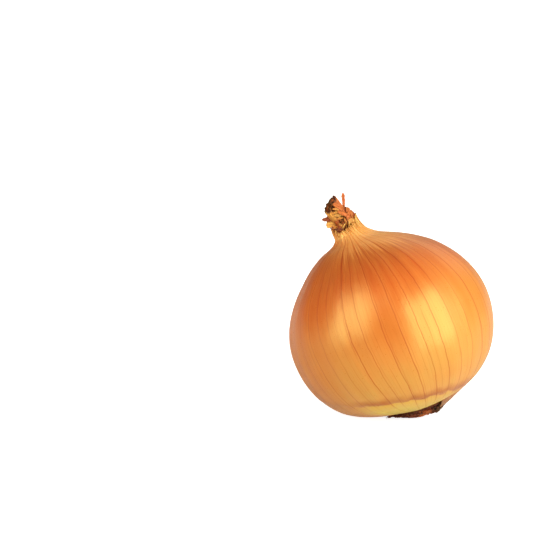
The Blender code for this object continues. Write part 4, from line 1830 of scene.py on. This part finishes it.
@dataclass
class RootTuft:
    """The corky root plate, with the matted dry roots whose cut tips make a low dome.

    A root's side is where its tip lies from the left (-1) to the right (1) of the tuft.
    """

    form: OnionForm
    finish: RootFinish
    plate_radius: float = 11.45 * MM
    plate_rim: float = 0.85 * MM
    plate_crown: float = 1.8 * MM
    plate_sides: int = 96
    plate_rings: int = 10
    plate_lump: float = 0.3 * MM
    tuft_radius: float = 11.9 * MM
    tuft_depth: float = 4.4 * MM
    tuft_rim_depth: float = 1.15 * MM
    tuft_shift: float = 6.0 * MM
    dome_bend: float = 1.6
    flap_pull: float = 0.9 * MM
    left_spread: float = 3.0 * MM
    left_rise: float = 0.8 * MM
    right_drop: float = 0.7 * MM
    right_span: Pair = (0.1, 0.45)
    root_count: int = 460
    matted_count: int = 240
    root_radius: float = 0.28 * MM
    root_steps: int = 8
    root_sides: int = 7
    root_foot: float = 0.92
    root_sink: float = 0.5 * MM
    cut_lengths: Pair = (0.78, 1.03)
    reaches: Pair = (0.93, 1.02)
    curl_sizes: Pair = (0.2 * MM, 0.9 * MM)
    curl_turns: Pair = (1.5, 2.5)
    matted_shares: Pair = (0.15, 0.9)
    matted_steps: Pair = (0.4 * MM, 0.75 * MM)
    matted_lift: float = 0.12 * MM
    matted_depth: float = 0.94
    # The bright roots in the middle of the tuft are partly orange-brown stalks, partly a painted highlight on the
    # tuft's top.
    bright_side: float = 0.08
    bright_width: float = 0.26
    bright_chance: float = 0.6
    dark_span: Pair = (0.24, 0.44)
    tone: float = 0.36
    bright_stalk_and_highlight_tone: float = 0.62
    dark_tone: float = 0.28

    def dome(self, share: float, full: float) -> float:
        """How low the roots reach, from the middle (0) to the rim (1)."""
        reach = (self.tuft_depth - self.tuft_rim_depth) * (1 - share**self.dome_bend) * full
        return self.form.base[1] - self.tuft_rim_depth - reach

    def root_path(self, rng: random.Random, index: int) -> list[Vector]:
        """The middle line of one standing root.

        Args:
            rng: The tuft's source of chance.
            index: The root's number, which places it on a spiral.

        Returns:
            Its points, from inside the plate to its cut tip.
        """
        share = math.sqrt((index + 0.5) / self.root_count)
        out = around_axis(index * GOLDEN_ANGLE + rng.uniform(-0.2, 0.2))
        left = max(-out.x, 0.0)
        start = out * share * self.plate_radius * self.root_foot
        crown = (self.plate_crown - self.plate_rim) * (1 - share**2)
        start.z = self.form.base[1] - self.plate_rim - crown + self.root_sink
        reach = self.tuft_radius - self.flap_pull * max(out.x, 0.0) + self.left_spread * left
        tip = out * share * reach * rng.uniform(*self.reaches)
        tip.x += self.tuft_shift * (1 - share)
        tip.z = self.dome(share, rng.uniform(*self.cut_lengths)) + self.left_rise * left * share**4
        tip.z -= self.right_drop * smooth_step(tip.x / self.tuft_radius, *self.right_span)
        forward = (tip - start).normalized()
        right = forward.orthogonal().normalized()
        up = forward.cross(right)
        curl = rng.uniform(0, math.tau)
        size = rng.uniform(*self.curl_sizes)
        path = []
        for i in range(self.root_steps + 1):
            gone = i / self.root_steps
            swing = curl + gone * rng.uniform(*self.curl_turns)
            bow = (right * math.cos(swing) + up * math.sin(swing)) * size * math.sin(math.pi * gone * 0.9)
            path.append(self.form.lifted(start.lerp(tip, gone) + bow))
        return path

    def matted_path(self, rng: random.Random) -> list[Vector]:
        """The middle line of a root that is pressed sideways over the tuft.

        Args:
            rng: The tuft's source of chance.

        Returns:
            Its points.
        """
        angle = rng.uniform(0, math.tau)
        share = rng.uniform(*self.matted_shares)
        heading = angle + rng.uniform(-1.6, 1.6) + math.pi / 2
        spot = around_axis(angle) * share * self.tuft_radius
        spot.x += self.tuft_shift * (1 - share) * 0.8
        bend = rng.uniform(-0.35, 0.35)
        step = rng.uniform(*self.matted_steps)
        path = []
        for _ in range(self.root_steps + 1):
            reach = min(math.hypot(spot.x, spot.y) / self.tuft_radius, 1.0)
            lift = rng.uniform(-self.matted_lift, self.matted_lift)
            path.append(self.form.lifted(Vector((spot.x, spot.y, self.dome(reach, self.matted_depth) + lift))))
            heading += bend + rng.uniform(-0.2, 0.2)
            ahead = spot + around_axis(heading) * step
            if math.hypot(ahead.x, ahead.y) < self.tuft_radius * 0.97:
                spot = ahead
            else:
                spot = spot * 0.96 + Vector((-spot.y, spot.x, 0)).normalized() * step * 0.5
        return path

    def add_root(self, draft: MeshDraft, path: list[Vector], rng: random.Random) -> None:
        """Adds one tapering root, brighter in the middle of the tuft, partly as a painted highlight, and dark on its
        right.

        Args:
            draft: What it is added to.
            path: Its middle line.
            rng: The tuft's source of chance.
        """
        side = path[-1].x / self.tuft_radius
        # Partly a painted highlight: roots in the middle of the tuft are made brighter.
        bright = bell(side - self.bright_side, self.bright_width) if rng.random() < self.bright_chance else 0.0
        tone = self.tone - self.dark_tone * smooth_step(side, *self.dark_span) + self.bright_stalk_and_highlight_tone * bright
        tone += rng.uniform(-0.12, 0.14)
        width = self.root_radius * rng.uniform(0.55, 1.35) * (1 + 0.5 * bright)
        widths = [width * (1 - 0.3 * i / len(path)) for i in range(len(path))]
        draft.add_tube(path, widths, self.root_sides, min(max(tone, 0.0), 1.0))

    def add_plate(self, draft: MeshDraft) -> None:
        """Adds the lumpy corky plate.

        Args:
            draft: What it is added to.
        """
        top = self.form.base[1] + self.form.seat_depth - 0.35 * MM
        rim, crown = self.form.base[1] - self.plate_rim, self.form.base[1] - self.plate_crown
        plan = [(0.3, top), (1.0, top), (1.0, rim), (0.94, rim - 0.3 * MM)]
        plan += [(0.9 - 0.08 * i, rim + (crown - rim) * (0.4 + 0.06 * i)) for i in range(self.plate_rings)]
        rows = []
        for share, height in plan:
            row = []
            for j in reversed(range(self.plate_sides)):
                angle = math.tau * j / self.plate_sides
                lump = self.plate_lump * noise.noise(around_axis(angle, share * 9)) if height < rim else 0.0
                row.append(self.form.place(share * self.plate_radius, angle, height + lump))
            rows.append(row)
        ends = (self.form.place(0, 0, top), self.form.place(0, 0, crown))
        draft.add_lump(rows, ends, tone=(0.3, 0.2), strand=(0.7, 0.8))

    def build(self) -> None:
        """Builds the plate and all the roots as one piece."""
        rng = random.Random(3)
        draft = MeshDraft()
        self.add_plate(draft)
        for index in range(self.root_count):
            self.add_root(draft, self.root_path(rng, index), rng)
        for _ in range(self.matted_count):
            self.add_root(draft, self.matted_path(rng), rng)
        draft.make("matted_roots", Slot.ROOT, self.finish.material(), "root_tuft")


@dataclass(frozen=True)
class SoftBox:
    """A studio light that looks at the onion. Angles are in degrees, as the camera sees them."""

    name: str
    azimuth: float
    elevation: float
    distance: float
    size: Pair
    radiance: float
    colour: tuple[float, float, float] = (1.0, 0.98, 0.94)

    def build(self, target: Vector) -> None:
        """Hangs the light.

        Args:
            target: The point that it looks at.
        """
        turn, rise = math.radians(self.azimuth), math.radians(self.elevation)
        way = Vector((math.sin(turn) * math.cos(rise), -math.cos(turn) * math.cos(rise), math.sin(rise)))
        data = bpy.data.lights.new(self.name, "AREA")
        data.shape = "RECTANGLE"
        data.size, data.size_y = self.size
        data.energy = self.radiance * math.pi * self.size[0] * self.size[1]
        data.color = self.colour
        made = bpy.data.objects.new(self.name, data)
        bpy.context.scene.collection.objects.link(made)
        made.location = target + way * self.distance
        made.rotation_euler = (-way).to_track_quat("-Z", "Y").to_euler()


@dataclass
class Studio:
    """The pale floor, the soft light and the camera at the photograph's angle.

    The elevation is in degrees, and the lens and the sensor are in millimetres.
    """

    target: Vector
    elevation: float = 20.0
    lens: float = 100.0
    sensor: float = 36.0
    distance: float = 0.59
    frame_pixels: float = 560.0
    body_pixel: Pair = (388.8, 322.8)
    floor_side: float = 8.0
    floor_colour: Colour = (0.72, 0.72, 0.72, 1)
    floor_roughness: float = 0.7
    floor_gloss: float = 0.2
    sky_span: Pair = (-0.8, 0.6)
    sky_left: float = 0.15
    sky_right: float = 0.5
    sky_colour: Colour = (1.0, 0.86, 0.58, 1.0)
    seen_colour: Colour = (1.0, 1.0, 1.0, 1.0)
    seen_glow: float = 0.85
    boxes: tuple[SoftBox, ...] = (
        SoftBox("right_softbox", 53.0, 29.0, 0.75, (0.74, 0.88), 4.6),
        SoftBox("left_softbox", -60.0, 29.0, 0.85, (0.56, 0.88), 4.15),
        SoftBox("rim_softbox", 152.0, 30.0, 0.9, (0.7, 0.5), 0.7),
    )

    def floor(self) -> None:
        """Lays the floor, which the camera sees as white."""
        half = self.floor_side / 2
        mesh = bpy.data.meshes.new("floor")
        corners = [(-half, -half, 0), (half, -half, 0), (half, half, 0), (-half, half, 0)]
        mesh.from_pydata(corners, [], [(0, 1, 2, 3)])
        made = bpy.data.materials.new("pale floor")
        made.use_nodes = True
        shader = made.node_tree.nodes["Principled BSDF"]
        shader.inputs["Base Color"].default_value = self.floor_colour
        shader.inputs["Roughness"].default_value = self.floor_roughness
        shader.inputs["Specular IOR Level"].default_value = self.floor_gloss
        shader.inputs["Emission Color"].default_value = self.seen_colour
        sheet = NodeSheet(made.node_tree)
        seen = sheet.add("ShaderNodeLightPath").outputs["Is Camera Ray"]
        sheet.feed(shader.inputs["Emission Strength"], sheet.times(seen, self.seen_glow))
        mesh.materials.append(made)
        floor = bpy.data.objects.new("floor", mesh)
        bpy.context.scene.collection.objects.link(floor)

    def camera(self) -> None:
        """Aims the camera so that the onion's body falls on its pixel of the photograph."""
        rise = math.radians(self.elevation)
        back = Vector((0, -math.cos(rise), math.sin(rise)))
        up = Vector((0, math.sin(rise), math.cos(rise)))
        pixel = self.distance * self.sensor / self.lens / self.frame_pixels
        aside, below = ((p - self.frame_pixels / 2) * pixel for p in self.body_pixel)
        data = bpy.data.cameras.new("camera")
        data.lens = self.lens
        data.sensor_width = self.sensor
        made = bpy.data.objects.new("camera", data)
        bpy.context.scene.collection.objects.link(made)
        made.location = self.target - Vector((1, 0, 0)) * aside + up * below + back * self.distance
        made.rotation_euler = (-back).to_track_quat("-Z", "Y").to_euler()
        bpy.context.scene.camera = made

    def surroundings(self) -> None:
        """Sets surroundings that look white, whose warm light is dimmer on the left, and plain colours."""
        world = bpy.data.worlds.new("white studio")
        world.use_nodes = True
        glow = world.node_tree.nodes["Background"]
        sheet = NodeSheet(world.node_tree)
        split = sheet.add("ShaderNodeSeparateXYZ")
        sheet.feed(split.inputs[0], sheet.add("ShaderNodeTexCoord").outputs["Generated"])
        dim = sheet.rise(split.outputs[0], *self.sky_span, self.sky_left, self.sky_right)
        seen = sheet.add("ShaderNodeLightPath").outputs["Is Camera Ray"]
        sheet.feed(glow.inputs["Color"], sheet.mix(seen, self.sky_colour, self.seen_colour))
        sheet.feed(glow.inputs["Strength"], sheet.math("MAXIMUM", dim, seen))
        bpy.context.scene.world = world
        bpy.context.scene.view_settings.view_transform = "Standard"

    def build(self) -> None:
        """Sets up the studio."""
        self.surroundings()
        self.floor()
        self.camera()
        for box in self.boxes:
            box.build(self.target)


def main() -> None:
    """Builds the onion's pieces in order, and the studio round them."""
    logging.basicConfig(level=logging.INFO, format="%(message)s")
    form = OnionForm()
    finish = SkinFinish(
        "onion skin", ior=1.58, specular_level=1.0, specular_tint=(0.85, 0.95, 0.30, 1.0),
        subsurface=0.12, subsurface_reach=1.6 * MM,
    )
    skin = finish.material(form)
    BaseFlap(form, finish).build(skin)
    Skin(form, finish).build(skin)
    LeafEnds(form, LeafFinish("dry leaf", specular_level=0.3, subsurface=0.1, subsurface_reach=0.6 * MM)).build()
    RootTuft(form, RootFinish("dry root", specular_level=0.25)).build()
    Studio(Vector(Lie().centre)).build()


if __name__ == "__main__":
    main()
